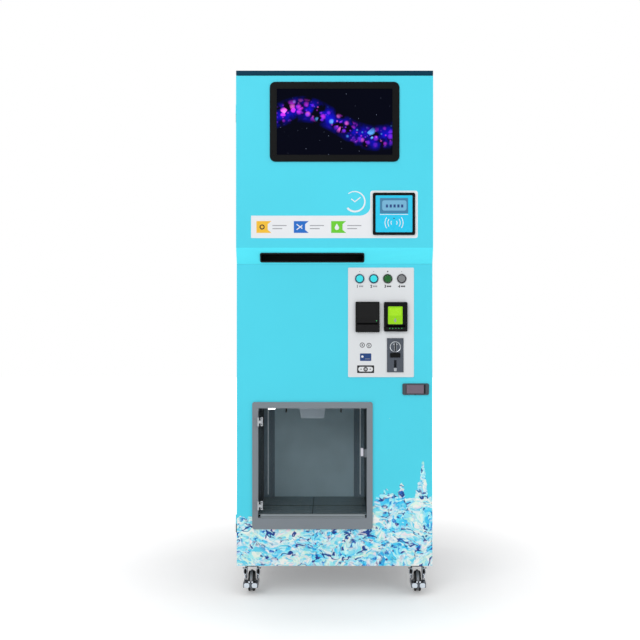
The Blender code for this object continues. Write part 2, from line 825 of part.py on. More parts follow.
def helix_blade():
    """Draw the auger's blade as one helical strip."""
    length = AUGER_PITCH * AUGER_TURNS
    start = -length / 2
    per_turn = SMALL_SIDES
    half = AUGER_BLADE / 2
    root = AUGER_SHAFT / 2
    bm = bmesh.new()
    rings = []
    for step in range(per_turn * AUGER_TURNS + 1):
        angle = 2 * math.pi * step / per_turn
        along = start + AUGER_PITCH * step / per_turn
        ring = []
        for radius, side in ((root, -half), (AUGER_RADIUS, -half), (AUGER_RADIUS, half), (root, half)):
            co = (
                along + side,
                CHUTE_MID_Y + radius * math.cos(angle),
                AUGER_Z + radius * math.sin(angle),
            )
            ring.append(bm.verts.new(co))
        rings.append(ring)
    bm.faces.new(rings[0])
    bm.faces.new(rings[-1])
    for lower, upper in zip(rings, rings[1:]):
        for index in range(len(lower)):
            after = (index + 1) % len(lower)
            bm.faces.new((lower[index], lower[after], upper[after], upper[index]))
    return bm


def outlet_chamber():
    """Ice chamber with bevelled back corners, standing on two side walls."""
    half = OUTLET_WIDTH / 2
    left, right = OUTLET_MID_X - half, OUTLET_MID_X + half
    front = CABINET_FRONT + SHEET + GAP * 2
    back = front + CHAMBER_DEPTH

    def plan(grow, near):
        bevel = CHAMBER_BEVEL + grow / 2
        return [
            (left - grow, near),
            (right + grow, near),
            (right + grow, back + grow - bevel),
            (right + grow - bevel, back + grow),
            (left - grow + bevel, back + grow),
            (left - grow, back + grow - bevel),
        ]

    chamber = piece(
        "outlet_chamber",
        prism(plan(CHAMBER_WALL, front), "z", DECK_BOTTOM + DECK_WALL, CHAMBER_ROOF),
        "stainless",
    )
    cut(chamber, prism(plan(0, front - OVERRUN), "z", CHAMBER_FLOOR, CHAMBER_ROOF - CHAMBER_WALL))
    below = block(
        (left, front - OVERRUN, DECK_TOP - OVERRUN),
        (right, back + OVERRUN, CHAMBER_FLOOR - CHAMBER_WALL),
    )
    feet = [
        block(
            (near - CHAMBER_WALL, front + SHEET, DECK_TOP + GAP),
            (near, back - CHAMBER_BEVEL - CHAMBER_WALL, DECK_BOTTOM + DECK_WALL + EMBED),
        )
        for near in (left, right + CHAMBER_WALL)
    ]
    fuse(chamber, *feet)
    cut(chamber, below, chute_solid(-GAP, CHAMBER_ROOF - OVERRUN, CHAMBER_ROOF + OVERRUN))


def drip_grille(body):
    """Lift-out grille on the chamber's floor."""
    half = OUTLET_WIDTH / 2 - GAP
    front = CABINET_FRONT + SHEET + GAP * 2
    back = front + CHAMBER_DEPTH - CHAMBER_BEVEL
    low = CHAMBER_FLOOR + GAP
    left, right = OUTLET_MID_X - half, OUTLET_MID_X + half
    grille = piece(
        "drip_grille", block((left, front, low), (right, back, low + GRILLE_THICK)), "stainless", body
    )
    span = back - front - GRILLE_EDGE * 2
    pitch = span / GRILLE_SLOTS
    for row in range(GRILLE_SLOTS):
        middle = front + GRILLE_EDGE + pitch * (row + 0.5)
        for near, far in ((left, OUTLET_MID_X), (OUTLET_MID_X, right)):
            hole = block(
                (near + GRILLE_EDGE, middle - GRILLE_SLOT / 2, low - OVERRUN),
                (far - GRILLE_EDGE, middle + GRILLE_SLOT / 2, low + GRILLE_THICK + OVERRUN),
            )
            cut(grille, hole)
    return grille


def refrigeration():
    """Compressor on its foot plate, and the condenser with its shroud and fan motor."""
    floor = DECK_TOP + GAP
    foot = block(
        (COMPRESSOR_X - COMPRESSOR_FOOT, COMPRESSOR_Y - COMPRESSOR_FOOT, floor),
        (COMPRESSOR_X + COMPRESSOR_FOOT, COMPRESSOR_Y + COMPRESSOR_FOOT, floor + COMPRESSOR_FOOT_THICK),
    )
    shell = []
    base = floor + COMPRESSOR_FOOT_THICK - EMBED
    crown = COMPRESSOR_RADIUS / 2
    straight = COMPRESSOR_HEIGHT - crown
    shell.append((COMPRESSOR_RADIUS, base))
    for step in range(5):
        angle = math.pi / 2 * step / 5
        shell.append(
            (COMPRESSOR_RADIUS * math.cos(angle), floor + straight + crown * math.sin(angle))
        )
    compressor = piece(
        "compressor", turned("z", (COMPRESSOR_X, COMPRESSOR_Y), shell), "black_iron", smooth=True
    )
    fuse(compressor, foot)
    condenser(floor)


def condenser(floor):
    """Coil block with a fan shroud and the bar that carries the fan motor."""
    centre = fan_centre()
    core_front = CONDENSER_FRONT
    shroud_front = core_front - SHROUD_DEPTH
    coil = piece(
        "condenser",
        block((CONDENSER_LOW_X, shroud_front, floor), (CONDENSER_HIGH_X, CONDENSER_REAR, CONDENSER_TOP)),
        "zinc",
    )
    cut(coil, rod("y", centre, shroud_front - OVERRUN, core_front, SHROUD_HOLE, ROUND_SIDES))
    bar = block(
        (centre[0] - FAN_BAR / 2, shroud_front - FAN_BAR_THICK, floor),
        (centre[0] + FAN_BAR / 2, shroud_front + EMBED, CONDENSER_TOP),
    )
    motor_rear = shroud_front - FAN_BAR_THICK + EMBED
    motor = rod("y", centre, motor_rear - FAN_MOTOR_LENGTH, motor_rear, FAN_MOTOR_RADIUS, ROUND_SIDES)
    shaft = rod("y", centre, shroud_front - EMBED, shroud_front + FAN_DEPTH - SHEET, FAN_SHAFT)
    fuse(coil, bar, motor, shaft)


def fan_centre():
    """Return where the fan's axis stands, as x and z."""
    middle_x = (CONDENSER_LOW_X + CONDENSER_HIGH_X) / 2
    middle_z = (DECK_TOP + CONDENSER_TOP) / 2
    return middle_x, middle_z


def fan(body):
    """Fan: a hub on the motor's shaft with twisted blades."""
    centre = fan_centre()
    front = CONDENSER_FRONT - SHROUD_DEPTH + GAP * 2
    hub = rod("y", centre, front, front + FAN_DEPTH, FAN_HUB, ROUND_SIDES)
    blades = piece("fan_blades", hub, "black_plastic", body, smooth=True)
    thick = FAN_DEPTH / 8
    middle = front + FAN_DEPTH / 2
    lean = FAN_DEPTH / 2 - thick * 1.5
    for index in range(FAN_BLADES):
        turn = 2 * math.pi * index / FAN_BLADES
        sweep = 2 * math.pi / FAN_BLADES / 3
        bm = bmesh.new()
        corners = []
        for radius in (FAN_HUB * 0.8, FAN_RADIUS):
            for side in (-1, 1):
                for depth in (-thick, thick):
                    angle = turn + side * sweep / 2 * (1 if radius > FAN_HUB else 1.2)
                    co = (
                        centre[0] + radius * math.cos(angle),
                        middle + side * lean + depth / 2,
                        centre[1] + radius * math.sin(angle),
                    )
                    corners.append(bm.verts.new(co))
        bmesh.ops.convex_hull(bm, input=corners)
        fuse(blades, bm)
    cut(
        blades,
        rod("y", centre, front - OVERRUN, front + FAN_DEPTH - SHEET, FAN_SHAFT + TURNING_GAP),
    )
    return blades


def services():
    """Control box, water inlet valve and power inlet."""
    right = INNER_HALF
    rear = BOX_FRONT + BOX_DEPTH
    box = piece(
        "control_box",
        block((BOX_LEFT, BOX_FRONT, BOX_LOW), (right, rear, BOX_LOW + BOX_HEIGHT)),
        "white_paint",
    )
    centre = rocker_centre()
    pocket = block(
        (centre[0] - ROCKER_WIDTH / 2 - GAP, BOX_FRONT - OVERRUN, centre[1] - ROCKER_HEIGHT / 2 - ROCKER_PIN),
        (centre[0] + ROCKER_WIDTH / 2 + GAP, BOX_FRONT + ROCKER_THICK + ROCKER_RELIEF,
         centre[1] + ROCKER_HEIGHT / 2 + ROCKER_PIN),
    )
    half = ROCKER_WIDTH / 2 + GAP + EMBED
    pin = rod("x", (BOX_FRONT, centre[1]), centre[0] - half, centre[0] + half, ROCKER_PIN)
    cut(box, pocket)
    fuse(box, pin_at_rocker(pin))
    half_valve = VALVE_SIZE / 2
    valve_rear = PANEL_REAR
    valve = piece(
        "water_inlet_valve",
        block(
            (INLET_X - half_valve, valve_rear - VALVE_DEPTH, VALVE_Z - half_valve),
            (INLET_X + half_valve, valve_rear, VALVE_Z + half_valve),
        ),
        "button_grey",
    )
    stub_end = CABINET_REAR + VALVE_OUT
    fuse(valve, rod("y", (INLET_X, VALVE_Z), valve_rear - EMBED, stub_end, VALVE_STUB))
    cut(valve, rod("y", (INLET_X, VALVE_Z), CABINET_REAR, stub_end + OVERRUN, VALVE_BORE))
    plate = rounded(INLET_X, POWER_Z, POWER_WIDTH, POWER_HEIGHT, POWER_THICK)
    flange_front = CABINET_REAR + GAP
    inlet = piece(
        "power_inlet", prism(plate, "y", flange_front, flange_front + POWER_THICK), "black_plastic"
    )
    body_outline = rounded(INLET_X, POWER_Z, POWER_BODY_WIDTH, POWER_BODY_HEIGHT, GAP, 1)
    fuse(inlet, prism(body_outline, "y", flange_front - POWER_DEPTH, flange_front + EMBED))
    wall = (POWER_BODY_WIDTH - POWER_BODY_HEIGHT) / 4
    socket = rounded(
        INLET_X, POWER_Z, POWER_BODY_WIDTH - wall * 2, POWER_BODY_HEIGHT - wall * 2, GAP, 1
    )
    cut(inlet, prism(socket, "y", flange_front - POWER_DEPTH / 2, flange_front + POWER_THICK + OVERRUN))


def rocker_centre():
    """Return the rocker's axis, as x and z."""
    middle_x = (BOX_LEFT + INNER_HALF) / 2
    return middle_x, BOX_LOW + BOX_HEIGHT - ROCKER_DROP


def rocker_axis_y():
    """Return how far back the rocker's pin lies."""
    return BOX_FRONT - ROCKER_OUT + ROCKER_THICK / 2


def pin_at_rocker(pin):
    """Move a pin drawn on the box's face back to the rocker's axis."""
    bmesh.ops.translate(pin, verts=pin.verts, vec=(0, rocker_axis_y() - BOX_FRONT, 0))
    return pin


def power_rocker(body):
    """Rocker of the power switch, bored for its pin."""
    middle_x, middle_z = rocker_centre()
    front = BOX_FRONT - ROCKER_OUT
    rear = front + ROCKER_THICK
    top = middle_z + ROCKER_HEIGHT / 2
    low = middle_z - ROCKER_HEIGHT / 2
    dip = ROCKER_THICK / 4
    outline = [(front, low), (rear, low), (rear, top), (front, top), (front + dip, middle_z)]
    half = ROCKER_WIDTH / 2
    rocker = piece(
        "power_rocker", prism(outline, "x", middle_x - half, middle_x + half), "red_plastic", body
    )
    bore = rod(
        "x",
        (rocker_axis_y(), middle_z),
        middle_x - half - OVERRUN,
        middle_x + half + OVERRUN,
        ROCKER_PIN + TURNING_GAP,
    )
    cut(rocker, bore)
    return rocker


def casters(spots, swivels, axles, pedals):
    """Four swivel casters: plate, fork and wheel each, with a brake pedal on the front two."""
    for index, (name, (x, y)) in enumerate(spots.items()):
        caster_plate(name, x, y)
        caster_fork(name, x, y, swivels[index])
        caster_wheel(name, x, y - CASTER_TRAIL, axles[index])
        if name in pedals:
            caster_pedal(name, x, y - CASTER_TRAIL, pedals[name])


def caster_plate(name, x, y):
    """Top plate with its raceway boss and kingpin."""
    high = DECK_BOTTOM - GAP
    low = high - CASTER_PLATE_THICK
    outline = rounded(x, y, CASTER_PLATE_HALF * 2, CASTER_PLATE_HALF * 2, CASTER_PLATE_THICK)
    plate = piece(f"caster_plate_{name}", prism(outline, "z", low, high), "chrome")
    fork_low = FORK_TOP - FORK_THICK
    head_top = fork_low - GAP
    pin = turned(
        "z",
        (x, y),
        [
            (KINGPIN_HEAD, head_top - KINGPIN_HEAD_THICK),
            (KINGPIN_HEAD, head_top),
            (KINGPIN, head_top),
            (KINGPIN, FORK_TOP + GAP),
            (CASTER_BOSS, FORK_TOP + GAP),
            (CASTER_BOSS, low + EMBED),
        ],
        SMALL_SIDES,
    )
    fuse(plate, pin)


def caster_fork(name, x, y, body):
    """Fork: a round head with two tapered cheeks and the axle across them."""
    low = FORK_TOP - FORK_THICK
    head = rod("z", (x, y), low, FORK_TOP, FORK_RADIUS, ROUND_SIDES)
    fork = piece(f"caster_fork_{name}", head, "chrome", body, smooth=True)
    axle_y = y - CASTER_TRAIL
    cheek = [
        (y + CHEEK_HEAD, low + EMBED),
        (y - CHEEK_HEAD, low + EMBED),
        (axle_y - CHEEK_FOOT, WHEEL_RADIUS),
        (axle_y - CHEEK_FOOT / 2, WHEEL_RADIUS - CHEEK_FOOT),
        (axle_y + CHEEK_FOOT / 2, WHEEL_RADIUS - CHEEK_FOOT),
        (axle_y + CHEEK_FOOT, WHEEL_RADIUS),
    ]
    for side in (-1, 1):
        inner = x + side * CHEEK_INNER
        outer = x + side * (CHEEK_INNER + CHEEK_THICK)
        fuse(fork, prism(cheek, "x", min(inner, outer), max(inner, outer)))
    reach = PEDAL_HALF + EMBED
    fuse(fork, rod("x", (axle_y, WHEEL_RADIUS), x - reach, x + reach, AXLE_RADIUS))
    cut(fork, rod("z", (x, y), low - OVERRUN, FORK_TOP + OVERRUN, KINGPIN + TURNING_GAP))


def caster_wheel(name, x, axle_y, body):
    """Wheel with a rounded tread, standing on one flat of its rim."""
    rim = WHEEL_RADIUS / math.cos(math.pi / WHEEL_SIDES)
    half = WHEEL_WIDTH / 2
    shoulder = WHEEL_WIDTH / 6
    turned_wheel = turned(
        "x",
        (axle_y, WHEEL_RADIUS),
        [
            (rim - shoulder, x - half),
            (rim, x - half + shoulder),
            (rim, x + half - shoulder),
            (rim - shoulder, x + half),
        ],
        WHEEL_SIDES,
        AXLE_RADIUS + TURNING_GAP * 1.5,
    )
    return piece(f"caster_wheel_{name}", turned_wheel, "rubber", body, smooth=True)


def caster_pedal(name, x, axle_y, body):
    """Brake pedal: a bar in front of the wheel on two arms bored for the axle."""
    inner = PEDAL_HALF - PEDAL_THICK
    front = axle_y - PEDAL_REACH
    rear = axle_y + PEDAL_BAR / 2
    outline = [
        (x - PEDAL_HALF, front),
        (x + PEDAL_HALF, front),
        (x + PEDAL_HALF, rear),
        (x + inner, rear),
        (x + inner, front + PEDAL_BAR),
        (x - inner, front + PEDAL_BAR),
        (x - inner, rear),
        (x - PEDAL_HALF, rear),
    ]
    pedal = piece(
        f"caster_pedal_{name}",
        prism(outline, "z", PEDAL_LOW, PEDAL_LOW + PEDAL_HEIGHT),
        "chrome",
        body,
    )
    reach = PEDAL_HALF + OVERRUN
    cut(
        pedal,
        rod("x", (axle_y, WHEEL_RADIUS), x - reach, x + reach, AXLE_RADIUS + TURNING_GAP, SMALL_SIDES),
    )
    return pedal


def door_knuckle(panel, low):
    """Join the door's half of one main hinge to a door panel, bored for the pin."""
    centre = (HINGE_X, HINGE_Y)
    middle = low + HINGE_LENGTH / 2
    high = low + HINGE_LENGTH
    leaf_left = -HALF_WIDTH + SHEET - EMBED
    leaf_right = -HALF_WIDTH + SHEET + HINGE_LEAF
    neck = block(
        (HINGE_X, DOOR_REAR - HINGE_RADIUS, middle),
        (leaf_right, DOOR_REAR, high),
    )
    leaf = block(
        (leaf_left, DOOR_REAR - HINGE_LEAF_REACH + SHEET * 2, middle),
        (leaf_right, DOOR_REAR, high),
    )
    fuse(panel, rod("z", centre, middle, high, HINGE_RADIUS), neck, leaf)
    cut(panel, rod("z", centre, middle - OVERRUN, high + OVERRUN, HINGE_PIN + TURNING_GAP))


def door_panels(body):
    """Upper door panel with its sloping band, and the lower door panel."""
    upper_outline = [
        (UPPER_FRONT, DOOR_TOP),
        (DOOR_REAR, DOOR_TOP),
        (DOOR_REAR, BAND_LOW),
        (LOWER_FRONT, BAND_LOW),
        (UPPER_FRONT, BAND_HIGH),
    ]
    upper = piece(
        "door_upper_panel", prism(upper_outline, "x", -HALF_WIDTH, HALF_WIDTH), "cyan_paint", body
    )
    inner_outline = [
        (UPPER_FRONT + SHEET, DOOR_TOP - SHEET),
        (DOOR_REAR + OVERRUN, DOOR_TOP - SHEET),
        (DOOR_REAR + OVERRUN, BAND_LOW + SHEET),
        (LOWER_FRONT + SHEET, BAND_LOW + SHEET),
        (UPPER_FRONT + SHEET, BAND_HIGH + SHEET / 2),
    ]
    cut(upper, prism(inner_outline, "x", -HALF_WIDTH + SHEET, HALF_WIDTH - SHEET))
    cut(upper, hinge_notch(UPPER_HINGE_LOW))
    door_knuckle(upper, UPPER_HINGE_LOW)
    front, back = UPPER_FRONT - OVERRUN, UPPER_FRONT + SHEET + OVERRUN
    lap = GAP * 2
    screen_hole = rounded(
        0, DISPLAY_MID_Z, SCREEN_WIDTH + SCREEN_LAP * 2 + lap, SCREEN_HEIGHT + SCREEN_LAP * 2 + lap, GAP, 1
    )
    reader_hole = rounded(READER_MID_X, READER_MID_Z, READER_BODY + lap, READER_BODY + lap, GAP, 1)
    cut(upper, prism(screen_hole, "y", front, back), prism(reader_hole, "y", front, back))
    slot = block(
        (SLOT_MID_X - SLOT_WIDTH / 2, UPPER_FRONT, SLOT_MID_Z - SLOT_HEIGHT / 2),
        (SLOT_MID_X + SLOT_WIDTH / 2, LOWER_FRONT + SHEET * 2, SLOT_MID_Z + SLOT_HEIGHT / 2),
    )
    cut(upper, slot)
    lower_door(body)


def lower_door(body):
    """Lower door panel with the holes for the control plate, the lock and the outlet."""
    lower_top = BAND_LOW - GAP
    lower = piece(
        "door_lower_panel",
        block((-HALF_WIDTH, LOWER_FRONT, DOOR_BOTTOM), (HALF_WIDTH, DOOR_REAR, lower_top)),
        "cyan_paint",
        body,
    )
    inside = block(
        (-HALF_WIDTH + SHEET, LOWER_FRONT + SHEET, DOOR_BOTTOM + SHEET),
        (HALF_WIDTH - SHEET, DOOR_REAR + OVERRUN, lower_top - SHEET),
    )
    cut(lower, inside, hinge_notch(LOWER_HINGE_LOW))
    door_knuckle(lower, LOWER_HINGE_LOW)
    front, back = LOWER_FRONT - OVERRUN, LOWER_FRONT + SHEET + OVERRUN
    half_width = PLATE_WIDTH / 2 - PLATE_LAP
    half_height = PLATE_HEIGHT / 2 - PLATE_LAP
    plate_hole = block(
        (PLATE_MID_X - half_width, front, PLATE_MID_Z - half_height),
        (PLATE_MID_X + half_width, back, PLATE_MID_Z + half_height),
    )
    dish = rounded(
        LOCK_MID_X,
        LOCK_MID_Z,
        LOCK_DISH_WIDTH + LOCK_WALL * 2 + GAP * 2,
        LOCK_DISH_HEIGHT + LOCK_WALL * 2 + GAP * 2,
        GAP,
        1,
    )
    reach = OUTLET_WIDTH / 2 + OUTLET_WALL + GAP
    outlet_hole = block(
        (OUTLET_MID_X - reach, front, OUTLET_LOW - OUTLET_WALL - GAP),
        (OUTLET_MID_X + reach, back, OUTLET_HIGH + OUTLET_WALL + GAP),
    )
    cut(lower, plate_hole, prism(dish, "y", front, back), outlet_hole)


def display(body):
    """Display bezel and the screen module behind it."""
    front = UPPER_FRONT - GAP - BEZEL_THICK
    outline = rounded(0, DISPLAY_MID_Z, DISPLAY_WIDTH, DISPLAY_HEIGHT, DISPLAY_RADIUS)
    bezel = piece(
        "display_bezel", prism(outline, "y", front, UPPER_FRONT - GAP), "black_plastic", body, smooth=True
    )
    window = rounded(0, DISPLAY_MID_Z, SCREEN_WIDTH, SCREEN_HEIGHT, GAP, 1)
    cut(bezel, prism(window, "y", front - OVERRUN, UPPER_FRONT + OVERRUN))
    glass = rounded(
        0, DISPLAY_MID_Z, SCREEN_WIDTH + SCREEN_LAP * 2, SCREEN_HEIGHT + SCREEN_LAP * 2, GAP, 1
    )
    piece("display_screen", prism(glass, "y", UPPER_FRONT, UPPER_FRONT + SCREEN_DEPTH), "screen_glass", body)


def card_reader(body):
    """Contactless card reader on the upper front."""
    front = UPPER_FRONT - GAP - READER_THICK
    outline = rounded(READER_MID_X, READER_MID_Z, READER_SIZE, READER_SIZE, READER_RADIUS)
    reader = piece(
        "card_reader", prism(outline, "y", front, UPPER_FRONT - GAP), "reader_blue", body, smooth=True
    )
    back = rounded(READER_MID_X, READER_MID_Z, READER_BODY, READER_BODY, GAP, 1)
    fuse(reader, prism(back, "y", UPPER_FRONT - GAP - EMBED, UPPER_FRONT + READER_DEPTH))


def slope_y(z):
    """Return how far back the sloping band's face lies at a height."""
    share = (z - BAND_LOW) / (BAND_HIGH - BAND_LOW)
    return LOWER_FRONT - UPPER_STEP * share


def bag_slot(body):
    """Bag dispenser: a mouth in the sloping band, in front of the box that holds the bags."""
    low = SLOT_MID_Z - SLOT_HEIGHT / 2 + GAP
    high = SLOT_MID_Z + SLOT_HEIGHT / 2 - GAP
    left = SLOT_MID_X - SLOT_WIDTH / 2 + GAP
    right = SLOT_MID_X + SLOT_WIDTH / 2 - GAP
    back = BAG_BOX_FRONT + BAG_BOX_DEPTH
    mouth = [
        (slope_y(low) - SLOT_LIP, low),
        (BAG_BOX_FRONT + EMBED, low),
        (BAG_BOX_FRONT + EMBED, high),
        (slope_y(high) - SLOT_LIP, high),
    ]
    liner = piece("bag_slot_liner", prism(mouth, "x", left, right), "black_plastic", body)
    box = block(
        (left, BAG_BOX_FRONT, SLOT_MID_Z - BAG_BOX_BELOW), (right, back, SLOT_MID_Z + BAG_BOX_ABOVE)
    )
    fuse(liner, box)
    inner = [
        (slope_y(high) - SLOT_LIP - OVERRUN, low + SLOT_WALL),
        (back - SLOT_WALL, low + SLOT_WALL),
        (back - SLOT_WALL, high - SLOT_WALL),
        (slope_y(high) - SLOT_LIP - OVERRUN, high - SLOT_WALL),
    ]
    cut(liner, prism(inner, "x", left + SLOT_WALL, right - SLOT_WALL))


def button_places():
    """Return each button's centre, as x and z, from left to right."""
    first = BUTTON_MID_X - BUTTON_PITCH * (BUTTON_COUNT - 1) / 2
    return [(first + BUTTON_PITCH * index, BUTTON_Z) for index in range(BUTTON_COUNT)]


def control_plate(body):
    """Control plate with the buttons' rims and sleeves and the holes for its modules."""
    back = LOWER_FRONT - GAP
    front = back - PLATE_THICK
    outline = rounded(PLATE_MID_X, PLATE_MID_Z, PLATE_WIDTH, PLATE_HEIGHT, PLATE_RADIUS)
    plate = piece("control_panel_plate", prism(outline, "y", front, back), "plate_paint", body)
    for centre in button_places():
        fuse(plate, rod("y", centre, front - BUTTON_RIM_OUT, back + BUTTON_SLEEVE, BUTTON_RIM, ROUND_SIDES))
    for centre in button_places():
        start, end = front - BUTTON_RIM_OUT - OVERRUN, back + BUTTON_SLEEVE + OVERRUN
        cut(plate, rod("y", centre, start, end, BUTTON_RADIUS + TURNING_GAP, ROUND_SIDES))
    modules = (
        (PRINTER_MID_X, PRINTER_MID_Z, PRINTER_WIDTH - PRINTER_EDGE * 2, PRINTER_HEIGHT - PRINTER_EDGE * 2),
        (BILL_MID_X, BILL_MID_Z, BILL_WIDTH - BILL_EDGE * 2, BILL_HEIGHT - BILL_EDGE * 2),
        (COIN_MID_X, COIN_MID_Z, COIN_WIDTH * COIN_BODY_SHARE, COIN_HEIGHT * COIN_BODY_SHARE),
    )
    for mid_x, mid_z, width, height in modules:
        hole = rounded(mid_x, mid_z, width + GAP * 2, height + GAP * 2, GAP, 1)
        cut(plate, prism(hole, "y", front - OVERRUN, back + OVERRUN))


def button(name, centre, finish_name, body):
    """Round push button that slides in its sleeve."""
    back = LOWER_FRONT - GAP
    front = back - PLATE_THICK - BUTTON_OUT
    edge = BUTTON_RIM_OUT / 4
    profile = [
        (BUTTON_RADIUS - edge, front),
        (BUTTON_RADIUS, front + edge),
        (BUTTON_RADIUS, back + BUTTON_SLEEVE - BUTTON_TRAVEL),
    ]
    piece(name, turned("y", centre, profile), finish_name, body, smooth=True)


def module_front():
    """Return the plane that the modules' bezels sit on."""
    return LOWER_FRONT - GAP - PLATE_THICK - GAP


def printer_hinge():
    """Return the printer lid's axis, as y and z."""
    front = module_front() - PRINTER_OUT
    return front + PRINTER_LID_THICK / 2, PRINTER_MID_Z + PRINTER_HEIGHT / 2 - PRINTER_EDGE


def receipt_printer(body):
    """Receipt printer: bezel, paper bay, hinge pin for its lid and a slot under the lid."""
    seat = module_front()
    front = seat - PRINTER_OUT
    outline = rounded(PRINTER_MID_X, PRINTER_MID_Z, PRINTER_WIDTH, PRINTER_HEIGHT, PRINTER_EDGE / 2)
    printer = piece("receipt_printer", prism(outline, "y", front, seat), "black_plastic", body)
    half_width = PRINTER_WIDTH / 2 - PRINTER_EDGE
    half_height = PRINTER_HEIGHT / 2 - PRINTER_EDGE
    back = block(
        (PRINTER_MID_X - half_width, seat - EMBED, PRINTER_MID_Z - half_height),
        (PRINTER_MID_X + half_width, seat + PRINTER_DEPTH, PRINTER_MID_Z + half_height),
    )
    fuse(printer, back)
    hinge_y, hinge_z = printer_hinge()
    lid_high = hinge_z + PRINTER_LID_THICK / 2 + GAP
    lid_low = hinge_z - PRINTER_LID_HEIGHT - GAP
    lid_half = half_width + GAP
    lid_seat = block(
        (PRINTER_MID_X - lid_half, front - OVERRUN, lid_low),
        (PRINTER_MID_X + lid_half, front + PRINTER_LID_THICK + SHEET, lid_high),
    )
    bay = block(
        (PRINTER_MID_X - half_width + SHEET, front, lid_low + SHEET),
        (PRINTER_MID_X + half_width - SHEET, front + PRINTER_BAY, hinge_z - PRINTER_EDGE),
    )
    slot_high = PRINTER_MID_Z - PRINTER_SLOT_DROP + PRINTER_SLOT
    slot_high = min(slot_high, lid_low - SHEET)
    slot = block(
        (PRINTER_MID_X - half_width, front - OVERRUN, slot_high - PRINTER_SLOT),
        (PRINTER_MID_X + half_width, front + PRINTER_BAY / 2, slot_high),
    )
    reach = lid_half + EMBED
    pin = rod("x", (hinge_y, hinge_z), PRINTER_MID_X - reach, PRINTER_MID_X + reach, PRINTER_LID_PIN)
    cut(printer, lid_seat, bay, slot)
    fuse(printer, pin)


def printer_lid(body):
    """Lid of the receipt printer, hinged at its top edge."""
    hinge_y, hinge_z = printer_hinge()
    half = PRINTER_WIDTH / 2 - PRINTER_EDGE - GAP
    radius = PRINTER_LID_THICK / 2
    steps = SMALL_SIDES // 2
    outline = [(hinge_y + radius, hinge_z - PRINTER_LID_HEIGHT)]
    for step in range(steps + 1):
        angle = math.pi * step / steps
        outline.append((hinge_y + radius * math.cos(angle), hinge_z + radius * math.sin(angle)))
    outline.append((hinge_y - radius, hinge_z - PRINTER_LID_HEIGHT))
    lid = piece(
        "printer_lid",
        prism(outline, "x", PRINTER_MID_X - half, PRINTER_MID_X + half),
        "black_plastic",
        body,
        smooth=True,
    )
    reach = half + OVERRUN
    bore = rod(
        "x",
        (hinge_y, hinge_z),
        PRINTER_MID_X - reach,
        PRINTER_MID_X + reach,
        PRINTER_LID_PIN + TURNING_GAP,
    )
    cut(lid, bore)


def bill_validator(body):
    """Bill validator: a proud bezel with a mouth for notes, and its box behind."""
    seat = module_front()
    front = seat - BILL_OUT
    outline = rounded(BILL_MID_X, BILL_MID_Z, BILL_WIDTH, BILL_HEIGHT, BILL_RADIUS)
    bill = piece("bill_validator", prism(outline, "y", front, seat), "black_plastic", body, smooth=True)
    half_width = BILL_WIDTH / 2 - BILL_EDGE
    half_height = BILL_HEIGHT / 2 - BILL_EDGE
    back = block(
        (BILL_MID_X - half_width, seat - EMBED, BILL_MID_Z - half_height),
        (BILL_MID_X + half_width, seat + BILL_DEPTH, BILL_MID_Z + half_height),
    )
    fuse(bill, back)
    middle = BILL_MID_Z - BILL_MOUTH_DROP
    mouth = block(
        (BILL_MID_X - BILL_MOUTH_WIDTH / 2, front - OVERRUN, middle - BILL_MOUTH / 2),
        (BILL_MID_X + BILL_MOUTH_WIDTH / 2, front + BILL_MOUTH_DEPTH, middle + BILL_MOUTH / 2),
    )
    cut(bill, mouth)


def reject_place():
    """Return the reject button's centre height."""
    return COIN_MID_Z


def coin_acceptor(body):
    """Coin acceptor: plate with a slotted ring, a reject button's well and a return slot."""
    seat = module_front()
    front = seat - COIN_THICK
    half_width, half_height = COIN_WIDTH / 2, COIN_HEIGHT / 2
    coin = piece(
        "coin_acceptor",
        block(
            (COIN_MID_X - half_width, front, COIN_MID_Z - half_height),
            (COIN_MID_X + half_width, seat, COIN_MID_Z + half_height),
        ),
        "dark_metal",
        body,
    )
    share = COIN_BODY_SHARE
    back = block(
        (COIN_MID_X - half_width * share, seat - EMBED, COIN_MID_Z - half_height * share),
        (COIN_MID_X + half_width * share, seat + COIN_DEPTH, COIN_MID_Z + half_height * share),
    )
    ring_centre = (COIN_MID_X, COIN_MID_Z + COIN_RING_RISE)
    ring = rod("y", ring_centre, front - COIN_RING_OUT, front + EMBED, COIN_RING, ROUND_SIDES)
    fuse(coin, back, ring)
    slot = block(
        (COIN_MID_X - COIN_SLOT / 2, front - COIN_RING_OUT - OVERRUN, ring_centre[1] - COIN_SLOT_HEIGHT / 2),
        (COIN_MID_X + COIN_SLOT / 2, seat + COIN_DEPTH / 2, ring_centre[1] + COIN_SLOT_HEIGHT / 2),
    )
    well = block(
        (COIN_MID_X - REJECT_WIDTH / 2 - GAP, front - OVERRUN, reject_place() - REJECT_HEIGHT / 2 - GAP),
        (
            COIN_MID_X + REJECT_WIDTH / 2 + GAP,
            front + REJECT_DEPTH + REJECT_TRAVEL,
            reject_place() + REJECT_HEIGHT / 2 + GAP,
        ),
    )
    middle = COIN_MID_Z - RETURN_DROP
    outlet = block(
        (COIN_MID_X - RETURN_WIDTH / 2, front - OVERRUN, middle - RETURN_HEIGHT / 2),
        (COIN_MID_X + RETURN_WIDTH / 2, front + RETURN_DEPTH, middle + RETURN_HEIGHT / 2),
    )
    cut(coin, slot, well, outlet)


def coin_reject_button(body):
    """Reject button that slides in its well."""
    front = module_front() - COIN_THICK
    half_width, half_height = REJECT_WIDTH / 2, REJECT_HEIGHT / 2
    low = (COIN_MID_X - half_width, front - REJECT_OUT, reject_place() - half_height)
    high = (COIN_MID_X + half_width, front + REJECT_DEPTH - GAP, reject_place() + half_height)
    piece("coin_reject_button", block(low, high), "black_plastic", body)


